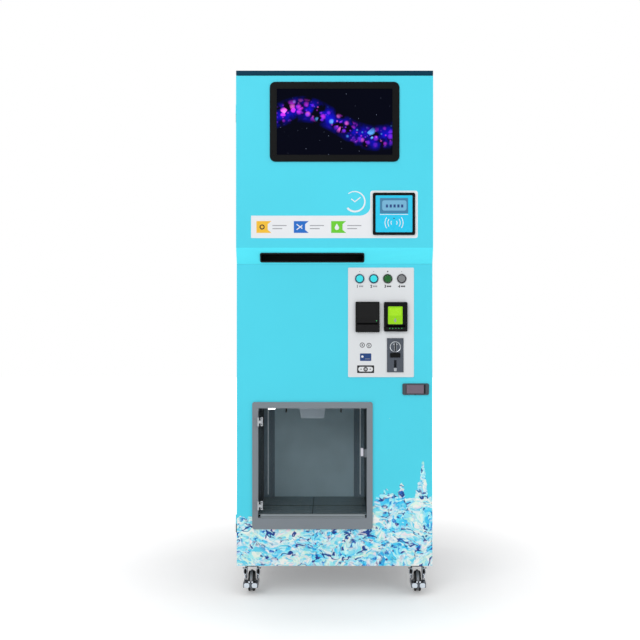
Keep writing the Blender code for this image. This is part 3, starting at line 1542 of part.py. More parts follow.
def paddle_axis():
    """Return the lock paddle's axis, as x and y."""
    return (
        LOCK_MID_X - LOCK_DISH_WIDTH / 2 + PADDLE_PIN_IN,
        LOWER_FRONT - GAP - LOCK_THICK + PADDLE_PIN_IN,
    )


def lock(body, paddle_body, cam_body):
    """Flush lock: dished housing, sprung paddle and the cam on its shaft."""
    seat = LOWER_FRONT - GAP
    front = seat - LOCK_THICK
    outline = rounded(LOCK_MID_X, LOCK_MID_Z, LOCK_WIDTH, LOCK_HEIGHT, LOCK_RADIUS)
    housing = piece("lock_housing", prism(outline, "y", front, seat), "dark_metal", body, smooth=True)
    dish_back = front + LOCK_DISH_DEPTH
    outer = rounded(
        LOCK_MID_X,
        LOCK_MID_Z,
        LOCK_DISH_WIDTH + LOCK_WALL * 2,
        LOCK_DISH_HEIGHT + LOCK_WALL * 2,
        GAP,
        1,
    )
    fuse(housing, prism(outer, "y", seat - EMBED, dish_back + LOCK_WALL))
    inner = rounded(LOCK_MID_X, LOCK_MID_Z, LOCK_DISH_WIDTH, LOCK_DISH_HEIGHT, GAP, 1)
    cut(housing, prism(inner, "y", front - OVERRUN, dish_back))
    half_height = LOCK_DISH_HEIGHT / 2
    axis_x, axis_y = paddle_axis()
    pin = rod(
        "z",
        (axis_x, axis_y),
        LOCK_MID_Z - half_height - EMBED,
        LOCK_MID_Z + half_height + EMBED,
        PADDLE_PIN,
    )
    fuse(housing, pin)
    cam_front = CABINET_FRONT + SHEET + CAM_CLEAR
    sleeve_out = CAM_SHAFT + LOCK_WALL
    sleeve_end = cam_front - GAP
    sleeve = rod("y", (CAM_X, LOCK_MID_Z), dish_back + LOCK_WALL - EMBED, sleeve_end, sleeve_out)
    fuse(housing, sleeve)
    cut(
        housing,
        rod("y", (CAM_X, LOCK_MID_Z), dish_back + LOCK_WALL / 2, sleeve_end + OVERRUN, CAM_SHAFT + TURNING_GAP),
    )
    lock_paddle(paddle_body)
    lock_cam(cam_body, dish_back + LOCK_WALL, cam_front)


def lock_paddle(body):
    """Paddle in the lock's dish, bored for its pin."""
    axis_x, axis_y = paddle_axis()
    half_height = LOCK_DISH_HEIGHT / 2 - GAP * 2
    right = LOCK_MID_X + LOCK_DISH_WIDTH / 2 - PADDLE_SHORT
    thick = PADDLE_THICK / 2
    outline = [(axis_x, axis_y - thick), (right, axis_y - thick), (right, axis_y + thick)]
    steps = SMALL_SIDES // 2
    for step in range(steps):
        angle = math.pi / 2 + math.pi * step / steps
        outline.append((axis_x + thick * math.cos(angle), axis_y + thick * math.sin(angle)))
    paddle = piece(
        "lock_paddle",
        prism(outline, "z", LOCK_MID_Z - half_height, LOCK_MID_Z + half_height),
        "dark_metal",
        body,
    )
    reach = half_height + OVERRUN
    cut(
        paddle,
        rod("z", (axis_x, axis_y), LOCK_MID_Z - reach, LOCK_MID_Z + reach, PADDLE_PIN + TURNING_GAP),
    )


def lock_cam(body, shaft_front, cam_front):
    """Cam that turns behind the right-hand flange."""
    shaft = rod("y", (CAM_X, LOCK_MID_Z), shaft_front, cam_front + EMBED, CAM_SHAFT)
    cam = piece("lock_cam", shaft, "zinc", body, smooth=True)
    half = CAM_WIDTH / 2
    arm = [
        (CAM_X - half, LOCK_MID_Z - half),
        (CAM_X + half, LOCK_MID_Z - half),
        (CAM_X + half, LOCK_MID_Z + CAM_LENGTH - half),
        (CAM_X + half / 2, LOCK_MID_Z + CAM_LENGTH),
        (CAM_X - half / 2, LOCK_MID_Z + CAM_LENGTH),
        (CAM_X - half, LOCK_MID_Z + CAM_LENGTH - half),
    ]
    fuse(cam, prism(arm, "y", cam_front, cam_front + CAM_THICK))


def outlet_front():
    """Return the outlet frame's front plane."""
    return LOWER_FRONT - GAP - OUTLET_THICK


def pane_axis():
    """Return the pane hinges' axis, as x and y."""
    left = OUTLET_MID_X - OUTLET_WIDTH / 2
    return left + SHEET / 2, outlet_front() - PANE_HINGE_OUT


def outlet_frame(body):
    """Outlet frame: flange, tunnel through the door, latch keeper and the fixed hinge leaves."""
    seat = LOWER_FRONT - GAP
    front = outlet_front()
    low, high = OUTLET_LOW - OUTLET_FOOT, OUTLET_HIGH + OUTLET_TOP
    outline = rounded(
        OUTLET_MID_X, (low + high) / 2, OUTLET_WIDTH + OUTLET_SIDE * 2, high - low, OUTLET_RADIUS
    )
    frame = piece("outlet_frame", prism(outline, "y", front, seat), "frame_grey", body)
    half = OUTLET_WIDTH / 2
    left, right = OUTLET_MID_X - half, OUTLET_MID_X + half
    tunnel = block(
        (left - OUTLET_WALL, seat - EMBED, OUTLET_LOW - OUTLET_WALL),
        (right + OUTLET_WALL, DOOR_REAR, OUTLET_HIGH + OUTLET_WALL),
    )
    fuse(frame, tunnel)
    window = block((left, front - OVERRUN, OUTLET_LOW), (right, DOOR_REAR + OVERRUN, OUTLET_HIGH))
    cut(frame, window)
    keeper_z = OUTLET_LOW + (OUTLET_HIGH - OUTLET_LOW) * PANE_LATCH_SHARE
    keeper_front = front + PANE_BACK + PANE_THICK + GAP
    keeper = block(
        (right - PANE_LATCH_WIDTH, keeper_front, keeper_z),
        (right + EMBED, keeper_front + PANE_LATCH_THICK, keeper_z + PANE_LATCH_HEIGHT),
    )
    fuse(frame, keeper)
    axis_x, axis_y = pane_axis()
    third = PANE_HINGE_HEIGHT / 3
    for base in (PANE_HINGE_LOW, PANE_HINGE_HIGH):
        leaf_front = front - PANE_LEAF_THICK
        leaf = block(
            (axis_x - PANE_LEAF_LEFT, leaf_front, base),
            (axis_x - PANE_HINGE_RADIUS - EMBED, front + EMBED, base + PANE_HINGE_HEIGHT),
        )
        fuse(frame, leaf)
        for start in (base, base + third * 2):
            fuse(frame, rod("z", (axis_x, axis_y), start, start + third, PANE_HINGE_RADIUS))
            neck = block(
                (axis_x - PANE_HINGE_RADIUS * 2, axis_y, start),
                (axis_x, front + EMBED, start + third),
            )
            fuse(frame, neck)
        pin = rod(
            "z",
            (axis_x, axis_y),
            base + third - EMBED,
            base + third * 2 + EMBED,
            PANE_HINGE_PIN,
        )
        fuse(frame, pin)


def outlet_door(body):
    """Smoked pane, its bottom rail and the two hinge clamps that it swings on."""
    front = outlet_front() + PANE_BACK
    left = OUTLET_MID_X - OUTLET_WIDTH / 2 + PANE_HINGE_GAP
    right = OUTLET_MID_X + OUTLET_WIDTH / 2 - PANE_LATCH_GAP
    rail_low = OUTLET_LOW + GAP * 2
    rail_high = rail_low + RAIL_HEIGHT
    piece(
        "outlet_rail",
        block((left, front - SHEET, rail_low), (right, front - SHEET + RAIL_THICK, rail_high)),
        "stainless",
        body,
    )
    piece(
        "outlet_pane",
        block((left, front, rail_high + GAP), (right, front + PANE_THICK, OUTLET_HIGH - PANE_TOP_GAP)),
        "smoked_glass",
        body,
    )
    axis_x, axis_y = pane_axis()
    third = PANE_HINGE_HEIGHT / 3
    for name, base in (("upper", PANE_HINGE_HIGH), ("lower", PANE_HINGE_LOW)):
        low, high = base + third + GAP, base + third * 2 - GAP
        barrel = rod("z", (axis_x, axis_y), low, high, PANE_HINGE_RADIUS)
        clamp = piece(f"outlet_hinge_{name}", barrel, "chrome", body, smooth=True)
        arm = block(
            (axis_x, axis_y - PANE_HINGE_RADIUS, low),
            (axis_x + PANE_CLAMP_REACH, axis_y + PANE_HINGE_RADIUS / 2, high),
        )
        jaw = block(
            (left + GAP, axis_y, low),
            (axis_x + PANE_CLAMP_REACH, front - GAP, high),
        )
        fuse(clamp, arm, jaw)
        reach = rod("z", (axis_x, axis_y), low - OVERRUN, high + OVERRUN, PANE_HINGE_PIN + TURNING_GAP)
        cut(clamp, reach)


def build():
    """Build every piece of the machine."""
    clear_scene()
    cabinet_shell()
    main_hinges()
    ice_path()
    outlet_chamber()
    refrigeration()
    services()
    auger(pivot("auger_axis", (0, CHUTE_MID_Y, AUGER_Z)))
    fan_x, fan_z = fan_centre()
    fan(pivot("fan_axis", (fan_x, CONDENSER_FRONT, fan_z)))
    drip_grille(pivot("drip_grille_slide", (OUTLET_MID_X, CABINET_FRONT, CHAMBER_FLOOR)))
    rocker_x, rocker_z = rocker_centre()
    power_rocker(pivot("power_rocker_axis", (rocker_x, rocker_axis_y(), rocker_z)))
    build_casters()
    build_door()


def build_casters():
    """Build the casters, each fork on its swivel axis and each wheel on its axle."""
    spots = {
        "front_left": (-CASTER_X, CASTER_FRONT_Y),
        "front_right": (CASTER_X, CASTER_FRONT_Y),
        "rear_left": (-CASTER_X, CASTER_REAR_Y),
        "rear_right": (CASTER_X, CASTER_REAR_Y),
    }
    swivels, axles, pedals = [], [], {}
    for name, (x, y) in spots.items():
        swivel = pivot(f"caster_{name}_swivel", (x, y, FORK_TOP))
        axle_place = (x, y - CASTER_TRAIL, WHEEL_RADIUS)
        swivels.append(swivel)
        axles.append(pivot(f"caster_{name}_axle", axle_place, swivel))
        if name.startswith("front"):
            pedals[name] = pivot(f"caster_{name}_pedal_axis", axle_place, swivel)
    casters(spots, swivels, axles, pedals)


def build_door():
    """Build the main door, what is fixed to it and what moves on it."""
    door = pivot("door_axis", (HINGE_X, HINGE_Y, DOOR_BOTTOM))
    door_panels(door)
    display(door)
    card_reader(door)
    bag_slot(door)
    control_plate(door)
    finishes = ("button_cyan", "button_cyan", "button_green", "button_grey")
    for index, centre in enumerate(button_places()):
        name = f"button_{index + 1}"
        slide = pivot(f"{name}_slide", (centre[0], LOWER_FRONT, centre[1]), door)
        button(name, centre, finishes[index], slide)
    receipt_printer(door)
    hinge_y, hinge_z = printer_hinge()
    printer_lid(pivot("printer_lid_axis", (PRINTER_MID_X, hinge_y, hinge_z), door))
    bill_validator(door)
    coin_acceptor(door)
    coin_reject_button(pivot("coin_reject_slide", (COIN_MID_X, LOWER_FRONT, reject_place()), door))
    axis_x, axis_y = paddle_axis()
    paddle = pivot("lock_paddle_axis", (axis_x, axis_y, LOCK_MID_Z), door)
    cam = pivot("lock_cam_axis", (CAM_X, LOWER_FRONT, LOCK_MID_Z), door)
    lock(door, paddle, cam)
    outlet_frame(door)
    pane_x, pane_y = pane_axis()
    outlet_door(pivot("outlet_door_axis", (pane_x, pane_y, OUTLET_LOW), door))


build()
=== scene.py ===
"""Looks of the ice vending machine: its finishes, its fine surface and the studio it stands in.

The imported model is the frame. Metres, +Z up, the front of the machine faces -Y. Tables of small
steps, and the widths of eased edges, are in millimetres.
"""

import json
import logging
import math
from dataclasses import dataclass
from enum import Enum
from typing import Callable, Iterable, Optional, Sequence, Union

import bmesh
import bpy
from mathutils import Matrix, Vector

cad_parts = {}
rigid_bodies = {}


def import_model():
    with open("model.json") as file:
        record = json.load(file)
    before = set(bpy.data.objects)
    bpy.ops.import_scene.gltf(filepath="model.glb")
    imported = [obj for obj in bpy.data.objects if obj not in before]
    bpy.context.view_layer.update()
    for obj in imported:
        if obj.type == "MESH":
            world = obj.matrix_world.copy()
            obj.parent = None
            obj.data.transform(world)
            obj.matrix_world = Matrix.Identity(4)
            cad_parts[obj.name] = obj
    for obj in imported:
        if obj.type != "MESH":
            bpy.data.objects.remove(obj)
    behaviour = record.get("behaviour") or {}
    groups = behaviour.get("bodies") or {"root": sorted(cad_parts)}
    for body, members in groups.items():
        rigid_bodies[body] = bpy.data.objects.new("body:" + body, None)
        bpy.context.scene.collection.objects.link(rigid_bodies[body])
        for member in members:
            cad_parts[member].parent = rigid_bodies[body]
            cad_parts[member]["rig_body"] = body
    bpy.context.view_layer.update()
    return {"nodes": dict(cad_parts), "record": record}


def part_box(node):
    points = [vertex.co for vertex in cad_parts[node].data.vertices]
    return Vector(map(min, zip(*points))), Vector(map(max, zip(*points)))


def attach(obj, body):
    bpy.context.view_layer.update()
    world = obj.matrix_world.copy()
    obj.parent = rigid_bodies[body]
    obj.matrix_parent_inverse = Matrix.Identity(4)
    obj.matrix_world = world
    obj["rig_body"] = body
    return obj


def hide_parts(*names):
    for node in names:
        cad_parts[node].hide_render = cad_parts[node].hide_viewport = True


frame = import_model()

logging.basicConfig(level=logging.INFO, format="%(message)s")
LOG = logging.getLogger("ice_machine")

Colour = tuple[float, float, float]
Point = tuple[float, float]
Corner = tuple[float, float, float]
Places = list[tuple[Corner, Corner]]
Socket = bpy.types.NodeSocket
Sockets = bpy.types.bpy_prop_collection
Value = Union[Socket, float, Colour]
Stops = Sequence[tuple[float, Colour]]

MM = 0.001
TIP = 0.0001 * MM
SMOOTH_ANGLE = math.radians(35)
SIDES = (-1, 1)


def srgb(red: float, green: float, blue: float) -> Colour:
    """Turn a screen colour of 0 to 255 a channel into Blender's linear values."""
    shares = [channel / 255 for channel in (red, green, blue)]
    return tuple(s / 12.92 if s <= 0.04045 else ((s + 0.055) / 1.055) ** 2.4 for s in shares)


class Surface(Enum):
    """What a surface is made of, which decides how its material is built."""

    PAINT = "paint"
    BRUSHED = "brushed"
    CHROME = "chrome"
    PLASTIC = "plastic"
    RUBBER = "rubber"
    GLASS = "glass"
    LIT = "lit"
    CAST = "cast"


class NodeTree:
    """Short calls for building a node tree."""

    def __init__(self, tree: bpy.types.NodeTree) -> None:
        """Keep the tree that the nodes go into."""
        self.tree = tree

    def add(self, kind: str, inputs: Optional[dict] = None,
            **settings: object) -> bpy.types.Node:
        """Add a node.

        Args:
            kind: The node's type name.
            inputs: Values or sockets for its inputs, by name or index.
            settings: Attributes set on the node.

        Returns:
            The node.
        """
        node = self.tree.nodes.new(kind)
        for name, value in settings.items():
            setattr(node, name, value)
        for name, value in (inputs or {}).items():
            self.feed(node.inputs[name], value)
        return node

    def feed(self, socket: Socket, value: Value) -> None:
        """Link a socket to another, or set its value.

        Args:
            socket: The input.
            value: A socket, a number, a vector or a colour.
        """
        if isinstance(value, Socket):
            self.tree.links.new(value, socket)
        elif isinstance(value, tuple) and socket.type == "RGBA" and len(value) == 3:
            socket.default_value = (*value, 1.0)
        else:
            socket.default_value = value

    def math(self, operation: str, *values: Value) -> Socket:
        """Add a Math node and return its result."""
        return self.add("ShaderNodeMath", dict(enumerate(values)), operation=operation).outputs[0]

    def product(self, first: Value, *values: Value) -> Socket:
        """Multiply values and return the result."""
        for value in values:
            first = self.math("MULTIPLY", first, value)
        return first

    def apart(self, value: Value, middle: Value) -> Socket:
        """Return how far a value lies from another."""
        return self.math("ABSOLUTE", self.math("SUBTRACT", value, middle))

    def vector(self, operation: str, *values: Value) -> Socket:
        """Add a Vector Math node and return its vector."""
        given = dict(enumerate(values))
        return self.add("ShaderNodeVectorMath", given, operation=operation).outputs[0]

    def split(self, vector: Socket, kind: str = "XYZ") -> Sockets:
        """Return a vector's or a colour's three parts."""
        return self.add(f"ShaderNodeSeparate{kind}", {0: vector}).outputs

    def mix(self, factor: Value, first: Value, second: Value, blend: str = "MIX") -> Socket:
        """Mix two colours and return the result."""
        node = self.add("ShaderNodeMix", data_type="RGBA", blend_type=blend)
        for index, value in zip((0, 6, 7), (factor, first, second)):
            self.feed(node.inputs[index], value)
        return node.outputs[2]

    def span(self, value: Value, low: float, high: float, to_low: float = 0.0,
             to_high: float = 1.0) -> Socket:
        """Map a value from one span to another, held inside it."""
        names = ("Value", "From Min", "From Max", "To Min", "To Max")
        given = dict(zip(names, (value, low, high, to_low, to_high)))
        return self.add("ShaderNodeMapRange", given).outputs[0]

    def noise(self, vector: Socket, scale: Value, detail: float = 2.0, rough: float = 0.5,
              out: Union[int, str] = 0) -> Socket:
        """Add a noise texture and return its value, or its colour."""
        given = {"Vector": vector, "Scale": scale, "Detail": detail, "Roughness": rough}
        return self.add("ShaderNodeTexNoise", given).outputs[out]

    def ramp(self, value: Socket, stops: Stops, constant: bool = False) -> Socket:
        """Add a colour ramp and return its colour.

        Args:
            value: What the ramp reads.
            stops: Place and screen colour of each stop.
            constant: Whether the colour changes in steps.

        Returns:
            The colour.
        """
        node = self.add("ShaderNodeValToRGB", {0: value})
        ramp = node.color_ramp
        ramp.interpolation = "CONSTANT" if constant else "LINEAR"
        while len(ramp.elements) < len(stops):
            ramp.elements.new(1.0)
        for element, (place, colour) in zip(ramp.elements, stops):
            element.position = place
            element.color = (*srgb(*colour), 1.0)
        return node.outputs[0]

    def group(self, made: bpy.types.NodeTree, where: Socket, **settings: Value) -> Sockets:
        """Add a shared group and return its outputs.

        Args:
            made: The group.
            where: Coordinates for its Vector input.
            settings: Its other inputs, by name.

        Returns:
            The group node's outputs.
        """
        node = self.add("ShaderNodeGroup", node_tree=made)
        self.feed(node.inputs["Vector"], where)
        for name, value in settings.items():
            node.inputs[name].default_value = value
        return node.outputs

    def seen_rays(self) -> Socket:
        """Return a mask of the rays that show a surface itself and not its light."""
        path = self.add("ShaderNodeLightPath").outputs
        seen = self.math("MAXIMUM", path["Is Camera Ray"], path["Is Glossy Ray"])
        return self.math("MAXIMUM", seen, path["Is Transmission Ray"])


def shared(name: str, outputs: Sequence[str], setting: str, default: Value) -> Callable:
    """Turn a function that draws values into one that returns their shared shader group.

    Args:
        name: The group's name.
        outputs: Names of the values that the function returns, in order.
        setting: The group's input beside Vector.
        default: The setting's default, a number or a vector.

    Returns:
        The decorator.
    """

    def wrap(draw: Callable) -> Callable[[], bpy.types.NodeTree]:
        """Keep the function that draws the values.

        Args:
            draw: The function that draws the values.

        Returns:
            The function that returns the group.
        """

        def group() -> bpy.types.NodeTree:
            """Return the group, made once.

            Returns:
                The group.
            """
            made = bpy.data.node_groups.get(name)
            if made:
                return made
            made = bpy.data.node_groups.new(name, "ShaderNodeTree")
            kind = "NodeSocketVector" if isinstance(default, tuple) else "NodeSocketFloat"
            made.interface.new_socket("Vector", in_out="INPUT", socket_type="NodeSocketVector")
            own = made.interface.new_socket(setting, in_out="INPUT", socket_type=kind)
            own.default_value = default
            for label in outputs:
                made.interface.new_socket(label, in_out="OUTPUT", socket_type="NodeSocketFloat")
            tree = NodeTree(made)
            given = tree.add("NodeGroupInput").outputs
            target = tree.add("NodeGroupOutput").inputs
            for label, value in zip(outputs, draw(tree, given["Vector"], given[setting])):
                tree.feed(target[label], value)
            return made

        return group

    return wrap


@shared("Brushed grain", ("Height", "Roughness", "Shade"), "Stretch", (900, 900, 14))
def grain_group(tree: NodeTree, where: Socket, stretch: Socket) -> tuple[Socket, ...]:
    """Draw brushed metal: fine lines along one direction."""
    fine = tree.noise(tree.vector("MULTIPLY", where, stretch), 1.0, 3.0, 0.65)
    broad = tree.noise(where, 9.0)
    rough = tree.math("ADD", tree.product(fine, 0.12), tree.product(broad, 0.08))
    return fine, rough, tree.span(fine, 0.3, 0.7, 0.9, 1.06)


@shared("Coat texture", ("Height", "Roughness", "Shade"), "Scale", 1200.0)
def coat_group(tree: NodeTree, where: Socket, scale: Socket) -> tuple[Socket, ...]:
    """Draw paint and plastic: a fine texture, faint patches and smears."""
    fine, broad = tree.noise(where, scale, 2.0, 0.6), tree.noise(where, 2.3, 3.0)
    smear = tree.noise(where, 14.0, 4.0, 0.7)
    shade = tree.span(broad, 0.3, 0.7, 0.975, 1.025)
    return fine, tree.span(smear, 0.3, 0.75, -0.04, 0.07), shade


@shared("Edge wear", ("Mask",), "Amount", 0.4)
def wear_group(tree: NodeTree, where: Socket, amount: Socket) -> tuple[Socket]:
    """Draw worn edges: a mask where the surface is sharply convex.

    Args:
        tree: The group's tree.
        where: Coordinates that the wear follows.
        amount: How strong it is.

    Returns:
        The mask.
    """
    rounded = tree.add("ShaderNodeBevel", {"Radius": 1.6 * MM}, samples=4).outputs[0]
    facing = tree.add("ShaderNodeNewGeometry").outputs["True Normal"]
    match = tree.add("ShaderNodeVectorMath", {0: rounded, 1: facing}, operation="DOT_PRODUCT")
    edge = tree.span(match.outputs["Value"], 0.97, 0.86)
    broken = tree.noise(where, 60.0, 3.0, 0.7)
    return (tree.product(edge, tree.span(broken, 0.45, 0.62), amount),)


@shared("Floor dust", ("Mask",), "Amount", 0.2)
def dust_group(tree: NodeTree, where: Socket, amount: Socket) -> tuple[Socket]:
    """Draw dust: a mask that grows towards the floor."""
    low = tree.span(tree.split(where)[2], 0.0, 0.35, 1.0, 0.12)
    cloud = tree.span(tree.noise(where, 22.0, 5.0, 0.65), 0.35, 0.75)
    return (tree.product(low, cloud, amount),)


def new_material(name: str,
                 gloss: float) -> tuple[bpy.types.Material, NodeTree, Sockets, Socket]:
    """Return a new material with its tree, its shader's inputs and its own coordinates.

    Args:
        name: The material's name.
        gloss: The shader's specular level.

    Returns:
        The material, the tree, the inputs and the coordinates.
    """
    made = bpy.data.materials.new(name)
    made.use_nodes = True
    tree = NodeTree(made.node_tree)
    shader = made.node_tree.nodes["Principled BSDF"].inputs
    shader["Specular IOR Level"].default_value = gloss
    return made, tree, shader, tree.add("ShaderNodeTexCoord").outputs["Object"]


DUST_COLOUR = srgb(150, 146, 138)
BARE_METAL = srgb(170, 174, 178)


@dataclass(frozen=True)
class Finish:
    """One finish of the machine, made into a material when it is first used."""

    name: str
    slot: str
    surface: Surface
    screen_colour: Colour
    roughness: float
    bump: float = 0.15
    dust: float = 0.12
    wear: float = 0.0
    glow: float = 0.0
    opacity: float = 0.08
    gloss: float = 0.3
    fine_scale: float = 1300.0
    rubber_scale: float = 700.0
    cast_metal: float = 0.35
    chrome_spread: float = 0.25
    dent_depth: float = 0.2 * MM

    @property
    def colour(self) -> Colour:
        """The finish's linear colour."""
        return srgb(*self.screen_colour)

    def material(self) -> bpy.types.Material:
        """Return the finish's material, built when it is first asked for.

        Returns:
            The material.
        """
        made = bpy.data.materials.get(self.name)
        if made:
            return made
        made, tree, shader, where = new_material(self.name, self.gloss)
        made.diffuse_color = (*self.colour, 1.0)
        colour = self.paint_colour(tree, where)
        if self.surface in (Surface.BRUSHED, Surface.CHROME, Surface.CAST):
            self.metal(tree, shader, where, colour)
        elif self.surface is Surface.GLASS:
            self.glass(tree, shader, where)
        else:
            self.coated(tree, shader, where, colour)
        return made

    def paint_colour(self, tree: NodeTree, where: Socket) -> Value:
        """Return the base colour before dust and wear: a plain one, or a printed pattern."""
        return self.colour

    def dusted(self, tree: NodeTree, where: Socket, colour: Value) -> Socket:
        """Lay dust over a colour."""
        mask = tree.group(dust_group(), where, Amount=self.dust)["Mask"]
        return tree.mix(mask, colour, DUST_COLOUR)

    def coated(self, tree: NodeTree, shader: Sockets, where: Socket, colour: Value) -> None:
        """Paint, plastic, rubber or a lit lens.

        Args:
            tree: The material's tree.
            shader: The shader's inputs.
            where: The piece's own coordinates.
            colour: The base colour.
        """
        scale = self.rubber_scale if self.surface is Surface.RUBBER else self.fine_scale
        coat = tree.group(coat_group(), where, Scale=scale)
        shaded = tree.mix(1.0, colour, coat["Shade"], "MULTIPLY")
        if self.wear:
            worn = tree.group(wear_group(), where, Amount=self.wear)["Mask"]
            shaded = tree.mix(worn, shaded, BARE_METAL)
        tree.feed(shader["Base Color"], self.dusted(tree, where, shaded))
        tree.feed(shader["Roughness"], tree.math("ADD", coat["Roughness"], self.roughness))
        self.dent(tree, shader, coat["Height"])
        if self.surface is Surface.LIT:
            tree.feed(shader["Emission Color"], shaded)
            shader["Emission Strength"].default_value = self.glow

    def metal(self, tree: NodeTree, shader: Sockets, where: Socket, colour: Value) -> None:
        """Brushed, chromed or cast metal.

        Args:
            tree: The material's tree.
            shader: The shader's inputs.
            where: The piece's own coordinates.
            colour: The base colour.
        """
        chromed = self.surface is Surface.CHROME
        grain = tree.group(grain_group(), where, Stretch=(900.0, 900.0, 14.0))
        shader["Metallic"].default_value = self.cast_metal if self.surface is Surface.CAST else 1.0
        shaded = colour if chromed else tree.mix(1.0, colour, grain["Shade"], "MULTIPLY")
        tree.feed(shader["Base Color"], self.dusted(tree, where, shaded))
        rough = tree.product(grain["Roughness"], self.chrome_spread if chromed else 1.0)
        tree.feed(shader["Roughness"], tree.math("ADD", rough, self.roughness))
        self.dent(tree, shader, grain["Height"])

    def glass(self, tree: NodeTree, shader: Sockets, where: Socket) -> None:
        """Clear or smoked sheet, seen through, with faint smears."""
        smear = tree.noise(where, 11.0, 4.0, 0.65)
        tree.feed(shader["Roughness"], tree.span(smear, 0.35, 0.8, self.roughness, 0.16))
        shader["Base Color"].default_value = (*self.colour, 1.0)
        tree.feed(shader["Alpha"], tree.span(smear, 0.3, 0.8, self.opacity, self.opacity + 0.05))

    def dent(self, tree: NodeTree, shader: Sockets, height: Socket) -> None:
        """Add a fine bump."""
        given = {"Strength": self.bump, "Distance": self.dent_depth, "Height": height}
        tree.feed(shader["Normal"], tree.add("ShaderNodeBump", given).outputs[0])


def rounded_outline(middle: Point, width: float, height: float, radius: float,
                    steps: int = 6) -> list[Point]:
    """Return a rectangle with round corners, as points in order.

    Args:
        middle: Its centre.
        width: Its whole width.
        height: Its whole height.
        radius: Corner radius.
        steps: Chords in each corner.

    Returns:
        The outline's points.
    """
    made = []
    for corner, (side, rise) in enumerate(((1, 1), (-1, 1), (-1, -1), (1, -1))):
        centre_x = middle[0] + side * (width / 2 - radius)
        centre_z = middle[1] + rise * (height / 2 - radius)
        for step in range(steps + 1):
            angle = corner * math.pi / 2 + step / steps * math.pi / 2
            made.append((centre_x + radius * math.cos(angle), centre_z + radius * math.sin(angle)))
    return made


def ring_outline(middle: Point, radius: float, steps: int = 32) -> list[Point]:
    """Return a circle as points in order."""
    return [polar(middle, radius, step / steps * math.tau) for step in range(steps)]


def polar(middle: Point, radius: float, angle: float) -> Point:
    """Return the point at a distance and an angle from a middle."""
    return middle[0] + radius * math.cos(angle), middle[1] + radius * math.sin(angle)


def offsets(base: Point, *steps: Point) -> list[Point]:
    """Return points at steps in millimetres from a base point."""
    return [(base[0] + across * MM, base[1] + up * MM) for across, up in steps]


def to_world(point: Point, depth: float, axis: str) -> Corner:
    """Place a flat point at a depth along the x, y or z axis."""
    a, b = point
    return {"x": (depth, a, b), "y": (a, depth, b), "z": (a, b, depth)}[axis]


def extent(node: str) -> tuple[Vector, Vector, Corner]:
    """Return a node's low corner, its high corner and its middle."""
    low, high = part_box(node)
    return low, high, tuple((a + b) / 2 for a, b in zip(low, high))


def soft_path(points: Sequence[Vector], bend: float = 0.022, steps: int = 6) -> list[Vector]:
    """Return a path with its corners rounded.

    Args:
        points: The path's corners.
        bend: How far from a corner its bend begins.
        steps: Chords in each bend.

    Returns:
        The points of the rounded path.
    """
    made = [points[0]]
    for before, corner, after in zip(points, points[1:], points[2:]):
        reach = min(bend, (corner - before).length / 2, (after - corner).length / 2)
        start = corner + (before - corner).normalized() * reach
        end = corner + (after - corner).normalized() * reach
        for share in (step / steps for step in range(steps + 1)):
            made.append(start.lerp(corner, share).lerp(corner.lerp(end, share), share))
    return made + [points[-1]]


